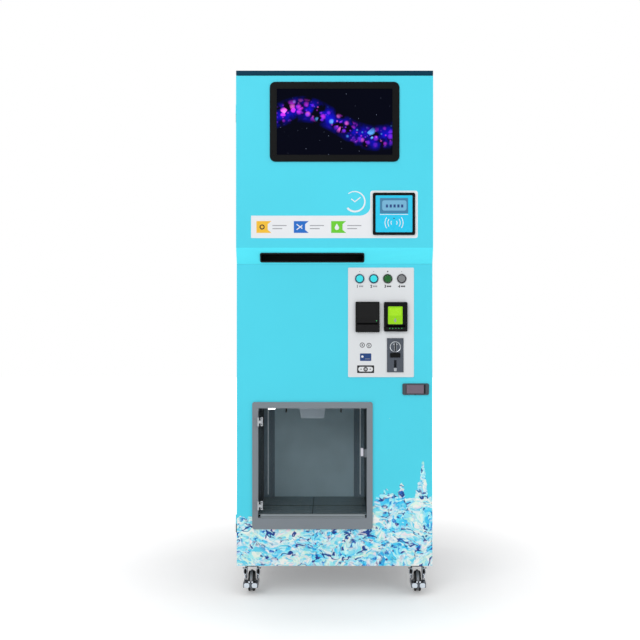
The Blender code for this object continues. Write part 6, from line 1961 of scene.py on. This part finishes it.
@dataclass
class Caster:
    """One swivelling caster: plate, fork, wheel and, at the front, a brake pedal."""

    spot: str
    braked: bool
    bolt_inset: float = 9 * MM
    cheek_squash: float = 0.44
    cheek_shift: float = 23.9 * MM
    cheek_drop: float = 20.6 * MM
    axle_drop: float = 42.0 * MM

    def build(self) -> None:
        """Build the caster."""
        plate = f"caster_plate_{self.spot}"
        eased(plate, 0.8, ZINC_CAST)
        low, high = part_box(plate)
        inset = self.bolt_inset
        places = crossings(DOWNWARD, (low.x + inset, high.x - inset),
                           (low.y + inset, high.y - inset), [low.z])
        bolts = Fasteners(f"caster_bolts_{self.spot}", places, 4.4, 2.6, sides=6)
        bolts.build(ZINC_CAST, "cabinet")
        eased(f"caster_fork_{self.spot}", 0.8, SHADED_CHROME)
        self.hood()
        self.wheel()
        if self.braked:
            self.pedal()

    def hood(self) -> None:
        """Add the fork's cheeks, each a chrome ring round a black plug that is a painted dark
        reflection, its axle nuts in painted highlight chrome, and the bridge over the wheel.
        """
        fork = f"caster_fork_{self.spot}"
        low, high, (x, _, _) = extent(fork)
        front, top, back = low.y, high.z, low.y + 9 * MM
        shell = [*offsets((0, front), (8.4, 2), (10, -0.6), (13, -1.6), (16, 0), (17, 3)),
                 (17.0 * MM, back), (8.4 * MM, back)]
        # Black plug inside each cheek's ring: a painted dark reflection.
        dark_reflection_plug = offsets((0, back), (0, -4), (9, -4), (9, -1), (0, -1))
        nut = [*offsets((0, front), (0, -3.4), (2.4, -3), (4.2, -0.6)), (4.2 * MM, back),
               (0.0, back)]
        for side, label in zip(SIDES, ("left", "right")):
            cheek = Shape().ring(shell, (0.0, 0.0), "y", 36)
            cheek.turned(dark_reflection_plug, (0.0, 0.0), "y", 36, part=1)
            for vert in cheek.mesh.verts:
                vert.co.x = x + side * self.cheek_shift + vert.co.x * self.cheek_squash
                vert.co.z += top - self.cheek_drop
            cheek.turned(nut, (x + side * 24.2 * MM, top - self.axle_drop), "y", 24, part=2)
            cheek.finish(f"caster_cheek_{self.spot}_{label}", fork, CHEEK_CHROME, SATIN_BLACK,
                         HIGHLIGHT_CHROME, edge=0.5)
        _, _, (_, *middle) = extent(f"caster_wheel_{self.spot}")
        strap = offsets((0, x), (39, -5), (41, -5), (42, 0), (41, 5), (39, 5))
        bridge = Shape().ring(strap, middle, "x", 24, 0, math.radians(28), math.radians(150))
        bridge.finish(f"caster_bridge_{self.spot}", fork, HUB_GREY, edge=0.7)

    def wheel(self) -> None:
        """Turn the wheel: two black tyres, the grey rim between them and hub caps."""
        node = f"caster_wheel_{self.spot}"
        low, high, (x, *middle) = extent(node)
        radius, half = (high.z - low.z) / 2, (high.x - low.x) / 2
        tyre = ((0.66, 0.80), (0.90, 0.84), (0.97, 0.76), (1, 0.60), (1, 0.44), (0.97, 0.32),
                (0.66, 0.30))
        tread = Shape()
        for side in SIDES:
            profile = [(radius * r, x + side * (half * along)) for r, along in tyre]
            tread.ring(profile, middle, "x", 56)
        rim = ((0.60, -0.31), (0.945, -0.31), (0.945, 0.31), (0.60, 0.31))
        tread.ring([(radius * r, x + half * along) for r, along in rim], middle, "x", 56, 1)
        hub = ((0, -1), (0.26, -1), (0.30, -0.92), (0.34, -0.62), (0.58, -0.66), (0.64, -0.82),
               (0.665, -0.82))
        both = [*hub, *((r, -along) for r, along in reversed(hub))]
        tread.turned([(radius * r, x + half * along) for r, along in both], middle, "x", 48, 1)
        tread.finish(f"{node}_form", node, RUBBER, HUB_GREY, nodes=[node])

    def pedal(self) -> None:
        """Dress the brake pedal: its two pads and the two studs above in painted highlight chrome,
        and its rib in the darkened chrome of a painted dark reflection.
        """
        node = f"caster_pedal_{self.spot}"
        eased(node, 1.0, SHADED_CHROME)
        low, high, (x, _, z) = extent(node)
        front = low.y
        stud = offsets((0, high.z), (0, -1), (3.4, -1), (3.4, 2.6), (2.4, 4.4), (0, 5))
        pads = Shape()
        for side in SIDES:
            pads.slab((x + side * 14.6 * MM, z), 20 * MM, 17.6 * MM, 7 * MM, front - 4.0 * MM,
                      front + 2.6 * MM, steps=8)
            pads.turned(stud, (x + side * 5.6 * MM, front + 5 * MM), "z", 24)
        pads.slab((x, z), 12 * MM, 15 * MM, 2 * MM, front - 1.6 * MM, front + 1.0 * MM, part=1)
        pads.finish(f"caster_pads_{self.spot}", node, HIGHLIGHT_CHROME, SHADED_CHROME, edge=2.0,
                    bends=4)


RIBBED_BIN = Finish("White moulded bin, ribs", "bin_plastic", Surface.PLASTIC, (224, 229, 231),
                    0.46)
SCREW_ZINC = Finish("Zinc screws", "zinc", Surface.CAST, (150, 152, 150), 0.34, dust=0.15)
DARK_SHEET = Finish("Dark housing sheet", "black_plastic", Surface.CAST, (40, 42, 46), 0.5,
                    bump=0.3)
FIN_STOCK = Finish("Fin stock", "zinc", Surface.BRUSHED, (176, 180, 184), 0.36, dust=0.35)
COPPER = Finish("Copper pipe", "zinc", Surface.BRUSHED, (190, 118, 84), 0.28, dust=0.3)
CABLE = Finish("Black cable", "white_paint", Surface.RUBBER, (26, 26, 28), 0.6)
STEEL_TRIM = Finish("Stainless trim", "stainless", Surface.BRUSHED, (176, 186, 192), 0.32)
SOLENOID = Finish("Solenoid blue", "button_grey", Surface.PLASTIC, (52, 74, 104), 0.45)
INLET_METAL = Finish("Inlet metal", "button_grey", Surface.CAST, (168, 160, 140), 0.3, dust=0.05)
INLET_PINS = Finish("Inlet pins", "black_plastic", Surface.CAST, (172, 174, 176), 0.25, dust=0.0)


@dataclass
class Cabinet:
    """Painted shell, its cap, deck and shelf, the rear cover's vent and the bag mouth's liner."""

    edge_inset: float = 11 * MM
    rows: int = 7
    vent_middle: Point = (0.145, 0.180)
    vent_pitch: float = 0.030
    vent_rows: int = 8
    vent_shift: float = 0.070
    slot: float = 0.010
    mouth: Point = (-0.0826, 1.255)
    mouth_size: Point = (0.3845, 0.0350)
    hole_size: Point = (0.3774, 0.0254)
    band_foot: Point = (-0.370, 1.232)

    def build(self) -> None:
        """Build the shell."""
        eased("left_side_panel", 1.2, WHITE)
        eased("right_side_panel", 1.2, WHITE)
        eased("rear_cover", 0.0, WHITE)
        eased("top_cap", 1.6, CAP)
        eased("base_deck", 0.8, ZINC)
        eased("machine_shelf", 0.8, ZINC)
        eased("bag_slot_liner", 0.8, BLACK)
        self.rear()
        self.bag_mouth()

    def rear(self) -> None:
        """Add the lips over the vent's slots and the screws round the rear cover."""
        low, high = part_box("rear_cover")
        x, top = self.vent_middle[0], self.vent_middle[1] + self.slot + 2 * MM
        rows = [top + row * self.vent_pitch - 4 * MM for row in range(self.vent_rows)]
        lips = [((side, high.y, z), BACKWARD) for z in rows for side in pair(x, self.vent_shift)]
        Louvres("rear_louvres", lips).build(WHITE, "cabinet")
        left, right = low.x + self.edge_inset, high.x - self.edge_inset
        foot, head = low.z + self.edge_inset, high.z - self.edge_inset
        step = (head - foot) / (self.rows - 1)
        columns = [foot + row * step for row in range(self.rows)]
        places = crossings(BACKWARD, (left, right), [high.y], columns)
        places += crossings(BACKWARD, (left / 2, 0.0, right / 2), [high.y], (foot, head))
        Fasteners("rear_screws", places, 3.6, 1.5).build(SCREW_ZINC, "cabinet")

    def bag_mouth(self) -> None:
        """Add the rounded flange round the bag mouth, lying on the sloped band."""
        hole = rounded_outline(self.mouth, *self.hole_size, 5 * MM)
        flange = Shape().slab(self.mouth, *self.mouth_size, 6 * MM, 0.0, 1.0, holes=[hole])
        for vert in flange.mesh.verts:
            slope = self.band_foot[0] - (vert.co.z - self.band_foot[1]) / 2
            vert.co.y = slope - (3.9 * MM if vert.co.y < 0.5 else 0.2 * MM)
        flange.finish("bag_mouth_flange", "door", BLACK, edge=0.5)


@dataclass
class IceWorks:
    """Ice maker head, moulded bin and auger drive."""

    panel_margin: float = 40 * MM
    slots: int = 9
    lid_lap: float = 4 * MM
    ribs: tuple[Corner, ...] = ((1.215, 0.010, 2.6), (1.290, 0.010, 2.6), (1.378, 0.022, 3.4))
    drain: Point = (-0.255, 0.985)
    rings: int = 9
    ring_pitch: float = 6.4 * MM

    def build(self) -> None:
        """Build the ice making side."""
        eased("ice_maker_head", 1.5, STEEL)
        eased("ice_bin", 3.0, BIN)
        eased("auger_gearmotor", 1.0, IRON)
        eased("auger_screw", 0.3, STEEL)
        self.head()
        self.bin()
        self.drive()

    def head(self) -> None:
        """Add the head's front panel with its vents, its lid and screws."""
        low, high, (x, y, z) = extent("ice_maker_head")
        wide, tall = high.x - low.x - self.panel_margin, high.z - low.z - self.panel_margin
        front = low.y - 2.2 * MM
        vents = [rounded_outline((x, low.z + 48 * MM + row * 11 * MM), wide * 0.7, 4.4 * MM,
                                 2.1 * MM) for row in range(self.slots)]
        panel = Shape().slab((x, z), wide, tall, 12 * MM, front, low.y + 0.3 * MM, holes=vents)
        panel.slab((x, high.z - 60 * MM), 120 * MM, 26 * MM, 8 * MM, low.y - 7 * MM,
                   low.y - 2.1 * MM, part=1)
        panel.finish("head_front_panel", "cabinet", STEEL_TRIM, DARK_SHEET, edge=0.8)
        lid = Shape().slab((x, y), high.x - low.x + self.lid_lap, high.y - low.y + self.lid_lap,
                           16 * MM, high.z - 14 * MM, high.z + 3 * MM, "z")
        lid.finish("head_lid", "cabinet", STEEL_TRIM, edge=1.2)
        left, right = pair(x, wide / 2 - 10 * MM)
        corners = crossings(FORWARD, (left, x, right), [front], pair(z, tall / 2 - 10 * MM))
        Fasteners("head_screws", corners, 3.6).build(STEEL_TRIM, "cabinet")

    def bin(self) -> None:
        """Add the bin's ribs and its rolled rim."""
        low, high, (x, y, _) = extent("ice_bin")
        wide, deep = high.x - low.x, high.y - low.y
        hole = rounded_outline((x, y), wide - 1 * MM, deep - 1 * MM, 3 * MM)
        ribs = Shape()
        for z, tall, out in self.ribs:
            ribs.slab((x, y), wide + out * 2 * MM, deep + out * 2 * MM, 5 * MM, z, z + tall, "z",
                      holes=[hole])
        ribs.finish("bin_ribs", "cabinet", RIBBED_BIN, edge=1.0)
        profile = offsets((0, low.y), (0, -15), (8, -15), (8, -11), (7, -10), (7, -4), (13, -4),
                          (13, 0.5), (0, 0.5))
        Shape().turned(profile, self.drain, "y", 32).finish("bin_drain", "cabinet", RIBBED_BIN)

    def drive(self) -> None:
        """Add the motor's cooling rings and the gearbox's bolts."""
        low, high, (x, y, _) = extent("auger_gearmotor")
        rings = Shape()
        for step in range(self.rings):
            z = high.z - 16 * MM - step * self.ring_pitch
            rings.ring(offsets((0, z), (22, 0), (26.4, 0), (26.4, 2.4), (22, 2.4)), (x, y), "z")
        rings.finish("gearmotor_rings", "cabinet", IRON, edge=0.4)
        bolts = crossings(FORWARD, pair(x, 18 * MM), [low.y],
                          [low.z + rise * MM for rise in (14, 65, 116)])
        Fasteners("gearbox_bolts", bolts, 4.5, 3.0, 0.0, 6).build(SCREW_ZINC, "cabinet")


@dataclass
class Refrigeration:
    """Compressor, condenser with its fins and pipes, and the fan."""

    fins: int = 68
    fin_pitch: float = 4.1 * MM
    bends: int = 6
    seam_z: float = 0.208
    terminal_z: float = 0.200
    mount_reach: float = 84 * MM
    suction: tuple[Corner, ...] = ((-0.112, 0.222, 0.262), (-0.052, 0.222, 0.262),
                                   (-0.052, 0.222, 0.392), (-0.052, 0.318, 0.392))
    discharge: tuple[Corner, ...] = ((-0.110, 0.185, 0.180), (-0.038, 0.185, 0.180),
                                     (-0.038, 0.306, 0.180))
    stub: tuple[Corner, ...] = ((-0.215, 0.160, 0.300), (-0.215, 0.160, 0.345),
                                (-0.232, 0.142, 0.362))
    radii: Corner = (4.6 * MM, 3.4 * MM, 3.2 * MM)

    def build(self) -> None:
        """Build the refrigeration side."""
        eased("compressor", 1.2, IRON)
        eased("condenser", 0.8, ZINC)
        eased("fan_blades", 0.5, BLACK)
        self.shell()
        self.coil()
        self.pipes()

    def shell(self) -> None:
        """Add the compressor's weld seam, terminal cover and rubber mounts."""
        low, _, (x, y, _) = extent("compressor")
        profile = offsets((0, self.seam_z), (84, 0), (87.4, 2), (87.4, 11), (84, 13))
        seam = Shape().ring(profile, (x, y), "z", 64)
        seam.slab((x, self.terminal_z), 66 * MM, 62 * MM, 7 * MM, low.y + 2 * MM, low.y + 24 * MM,
                  part=1)
        seam.slab((x, self.terminal_z), 30 * MM, 7 * MM, 3 * MM, low.y + 0.6 * MM, low.y + 2.2 * MM,
                  part=1)
        seam.finish("compressor_seam", "cabinet", IRON, SATIN_BLACK, edge=1.0)
        corners, foot = (pair(x, self.mount_reach), pair(y, self.mount_reach)), low.z + 12 * MM
        Fasteners("compressor_mounts", crossings(UPWARD, *corners, [foot]), 11, 8, 0.0).build(
            RUBBER, "cabinet")
        Fasteners("compressor_bolts", crossings(UPWARD, *corners, [foot + 8 * MM]), 6, 4, 0.0,
                  6).build(SCREW_ZINC, "cabinet")

    def coil(self) -> None:
        """Add the condenser's fins, shown through the vent, and its return bends."""
        low, high, (x, _, z) = extent("condenser")
        places = row_of((x, high.y + 0.9 * MM, z), self.fin_pitch, self.fins, UPWARD)
        Blades("condenser_fins", places, (0.6 * MM, 2.2 * MM, high.z - low.z - 12 * MM)).build(
            FIN_STOCK, "cabinet")
        bends, near, far = Shape(), low.x + 2 * MM, low.x - 14 * MM
        for row in range(self.bends):
            z = low.z + 30 * MM + row * 44 * MM
            for y in (high.y - 31 * MM, high.y - 12 * MM):
                over = z + 22 * MM
                bends.pipe([(near, y, z), (far, y, z), (far, y, over), (near, y, over)], 4 * MM)
        bends.finish("condenser_bends", "cabinet", COPPER)

    def pipes(self) -> None:
        """Run the suction and discharge pipes and the sealed service stub."""
        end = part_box("condenser")[0].x + 2 * MM
        lines = Shape()
        paths = [[*path, (end, *path[-1][1:])] for path in (self.suction, self.discharge)]
        for path, radius in zip((*paths, self.stub), self.radii):
            lines.pipe(path, radius)
        lines.finish("copper_pipes", "cabinet", COPPER)


@dataclass
class Services:
    """Control box with its rocker and cables, water inlet valve and power inlet."""

    box_front: float = -0.240
    gland_y: float = -0.150
    glands: tuple[float, ...] = (0.200, 0.230, 0.260)
    inlet_x: float = -0.280
    valve_z: float = 0.330
    valve_back: float = 0.3927
    stub_start: float = 0.3955
    power_z: float = 0.230
    pin_span: Point = (0.3850, 0.3972)
    pins: tuple[Point, ...] = ((-7.0, -1.5), (0.0, 2.5), (7.0, -1.5))
    drops: Corner = (0.300, 0.150, 0.200)
    cable_radii: Corner = (3.2, 3.6, 3.6)
    runs: tuple[tuple[Corner, ...], ...] = (
        ((0.160, 0.130, 0.300), (0.145, 0.256, 0.275)),
        ((0.150, 0.060, 0.135), (-0.190, 0.060, 0.135), (-0.190, 0.104, 0.185)),
        ((0.320, 0.050, 0.200), (0.320, 0.200, 0.130), (-0.050, 0.230, 0.125),
         (-0.290, 0.330, 0.140), (inlet_x, 0.372, 0.225)))

    def build(self) -> None:
        """Build the services."""
        eased("control_box", 1.2, WHITE)
        eased("power_rocker", 1.0, RED)
        eased("water_inlet_valve", 1.0, CAPS[3])
        eased("power_inlet", 0.5, SATIN_BLACK)
        self.lid()
        self.rocker_mark()
        self.cables()
        self.valve()
        self.inlet()

    def lid(self) -> None:
        """Add the control box's lid, its screws and its two lamps."""
        low, high, (x, _, z) = extent("control_box")
        _, _, (rocker_x, _, rocker_z) = extent("power_rocker")
        front, near = self.box_front, self.box_front - 1.8 * MM
        wide, tall = high.x - low.x - 10 * MM, high.z - low.z - 10 * MM
        holes = [rounded_outline((rocker_x, rocker_z), 26 * MM, 35 * MM, 3 * MM)]
        holes += [rounded_outline((x, low.z + 34 * MM + row * 9 * MM), wide * 0.6, 3.6 * MM,
                                  1.7 * MM) for row in range(7)]
        lid = Shape().slab((x, z), wide, tall, 6 * MM, near, front + 0.2 * MM, holes=holes)
        lid.finish("box_lid", "cabinet", WHITE, edge=0.6)
        corners = crossings(FORWARD, pair(x, wide / 2 - 8 * MM), [near], pair(z, tall / 2 - 8 * MM))
        Fasteners("box_screws", corners, 3.4, 1.6).build(SCREW_ZINC, "cabinet")
        lamps = Shape()
        profile = offsets((0, front), (4.6, -1.6), (4.6, -2.6), (3.4, -4.6), (0, -5.2))
        for part, shift in enumerate((-46 * MM, -62 * MM)):
            lamps.turned(profile, (rocker_x + shift, rocker_z), "y", 24, part)
        lamps.finish("box_lamps", "cabinet", LED_GREEN, TILE_AMBER)

    def rocker_mark(self) -> None:
        """Print the ring and the bar on the power rocker."""
        low, _, (x, _, z) = extent("power_rocker")
        profile = offsets((0, low.y), (2.6, -0.1), (3.6, -0.1), (3.6, 2), (2.6, 2))
        mark = Shape().ring(profile, (x, z - 7 * MM), "y", 24)
        mark.block((x - 0.5 * MM, low.y - 0.1 * MM, z + 3.5 * MM),
                   (x + 0.5 * MM, low.y + 2 * MM, z + 10 * MM))
        mark.finish("rocker_marks", "power_rocker", VINYL)

    def cables(self) -> None:
        """Add the control box's glands and run its three cables."""
        low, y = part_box("control_box")[0].z, self.gland_y
        shape = Shape()
        profile = offsets((0, low), (10, 0.5), (10, -5), (8.4, -6), (7.4, -15), (0, -15))
        for x in self.glands:
            shape.turned(profile, (x, y), "z", 12)
        for x, drop, run, radius in zip(self.glands, self.drops, self.runs, self.cable_radii):
            shape.pipe([(x, y, low - 14 * MM), (x, y, drop), *run], radius * MM)
        shape.finish("box_cables", "cabinet", CABLE)

    def valve(self) -> None:
        """Add the valve's coil, its collar and the stub's thread."""
        low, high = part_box("water_inlet_valve")
        x, z, start = self.inlet_x, self.valve_z, self.stub_start
        middle = (x, (low.y + self.valve_back) / 2)
        coil = Shape().rod(middle, high.z - 1 * MM, high.z + 26 * MM, 15 * MM, "z", 40)
        coil.rod(middle, high.z + 25 * MM, high.z + 31 * MM, 6 * MM, "z", 24)
        coil.finish("valve_coil", "cabinet", SOLENOID, edge=1.0)
        nut = offsets((0, start), (12, 0), (17, 0), (17, 2.6), (12, 2.6))
        stub = Shape().ring(nut, (x, z), "y", 6)
        for row in range(6):
            y = start + 3.4 * MM + row * 1.9 * MM
            stub.ring(offsets((0, y), (11.8, 0), (12.7, 0.8), (11.8, 1.6)), (x, z), "y", 40)
        stub.finish("valve_stub", "cabinet", INLET_METAL)

    def inlet(self) -> None:
        """Add the power inlet's three pins and its two screws."""
        x, z = self.inlet_x, self.power_z
        pins = Shape()
        for middle in offsets((x, z), *self.pins):
            pins.slab(middle, 2.0 * MM, 4.0 * MM, 0.4 * MM, *self.pin_span, steps=2)
        pins.finish("inlet_pins", "cabinet", INLET_PINS)
        places = crossings(BACKWARD, pair(x, 20 * MM), [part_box("power_inlet")[1].y], [z])
        Fasteners("inlet_screws", places, 2.8, 1.3).build(SCREW_ZINC, "cabinet")


CYAN = Finish("Cyan paint", "cyan_paint", Surface.PAINT, (80, 217, 238), 0.38, dust=0.04)
SCREEN = ink("Screen glass", "screen_glass", (6, 8, 30), 0.12)
PLAIN_FINISHES = {finish.slot: finish for finish in (
    CYAN, CAP, WHITE, PLATE, ZINC, STEEL, FRAME_GREY, CHROME, BLACK, SLATE, SCREEN, SMOKED, READER,
    RUBBER, BIN, IRON, CAPS[0], CAPS[2], CAPS[3], RED)}


@dataclass
class Door:
    """Door: its two painted skins on their hinges, with the millimetres that ease their edges."""

    skin_edge: float = 1.5
    hinge_edge: float = 0.6

    def build(self) -> None:
        """Build the door."""
        eased("door_upper_panel", self.skin_edge, UPPER_PAINT)
        eased("door_lower_panel", self.skin_edge, LOWER_PAINT)
        eased("door_hinge_upper", self.hinge_edge, SLATE)
        eased("door_hinge_lower", self.hinge_edge, SLATE)


@dataclass
class Display:
    """Advertising screen in its bezel, with the millimetres that ease their edges."""

    bezel_edge: float = 1.6
    screen_edge: float = 0.4

    def build(self) -> None:
        """Build the display, its picture on the front of its screen alone."""
        eased("display_bezel", self.bezel_edge, GLOSS_BLACK)
        eased("display_screen", self.screen_edge, PICTURE, HOUSING,
              part_of=lambda way, _: int(way.y > -0.9), name="display_picture")


def dress_nodes() -> None:
    """Give every node of the frame the finish of its own slot."""
    for row in sorted(frame["record"]["subparts"], key=lambda row: row["node"]):
        materials = frame["nodes"][row["node"]].data.materials
        materials.clear()
        materials.append(PLAIN_FINISHES[row["material_slot"]].material())


def main() -> None:
    """Build the studio and the machine."""
    Studio().build()
    casters = [Caster(f"{end}_{side}", end == "front")
               for end in ("front", "rear") for side in ("left", "right")]
    for part in (Door(), Display(), LabelSheet(), CardReader(), ControlPanel(), ReceiptPrinter(),
                 BillValidator(), CoinAcceptor(), DoorLock(), IceOutlet(), Cabinet(), IceWorks(),
                 Refrigeration(), Services(), *casters):
        LOG.info("building %s", type(part).__name__)
        part.build()
    dress_nodes()


if __name__ == "__main__":
    main()
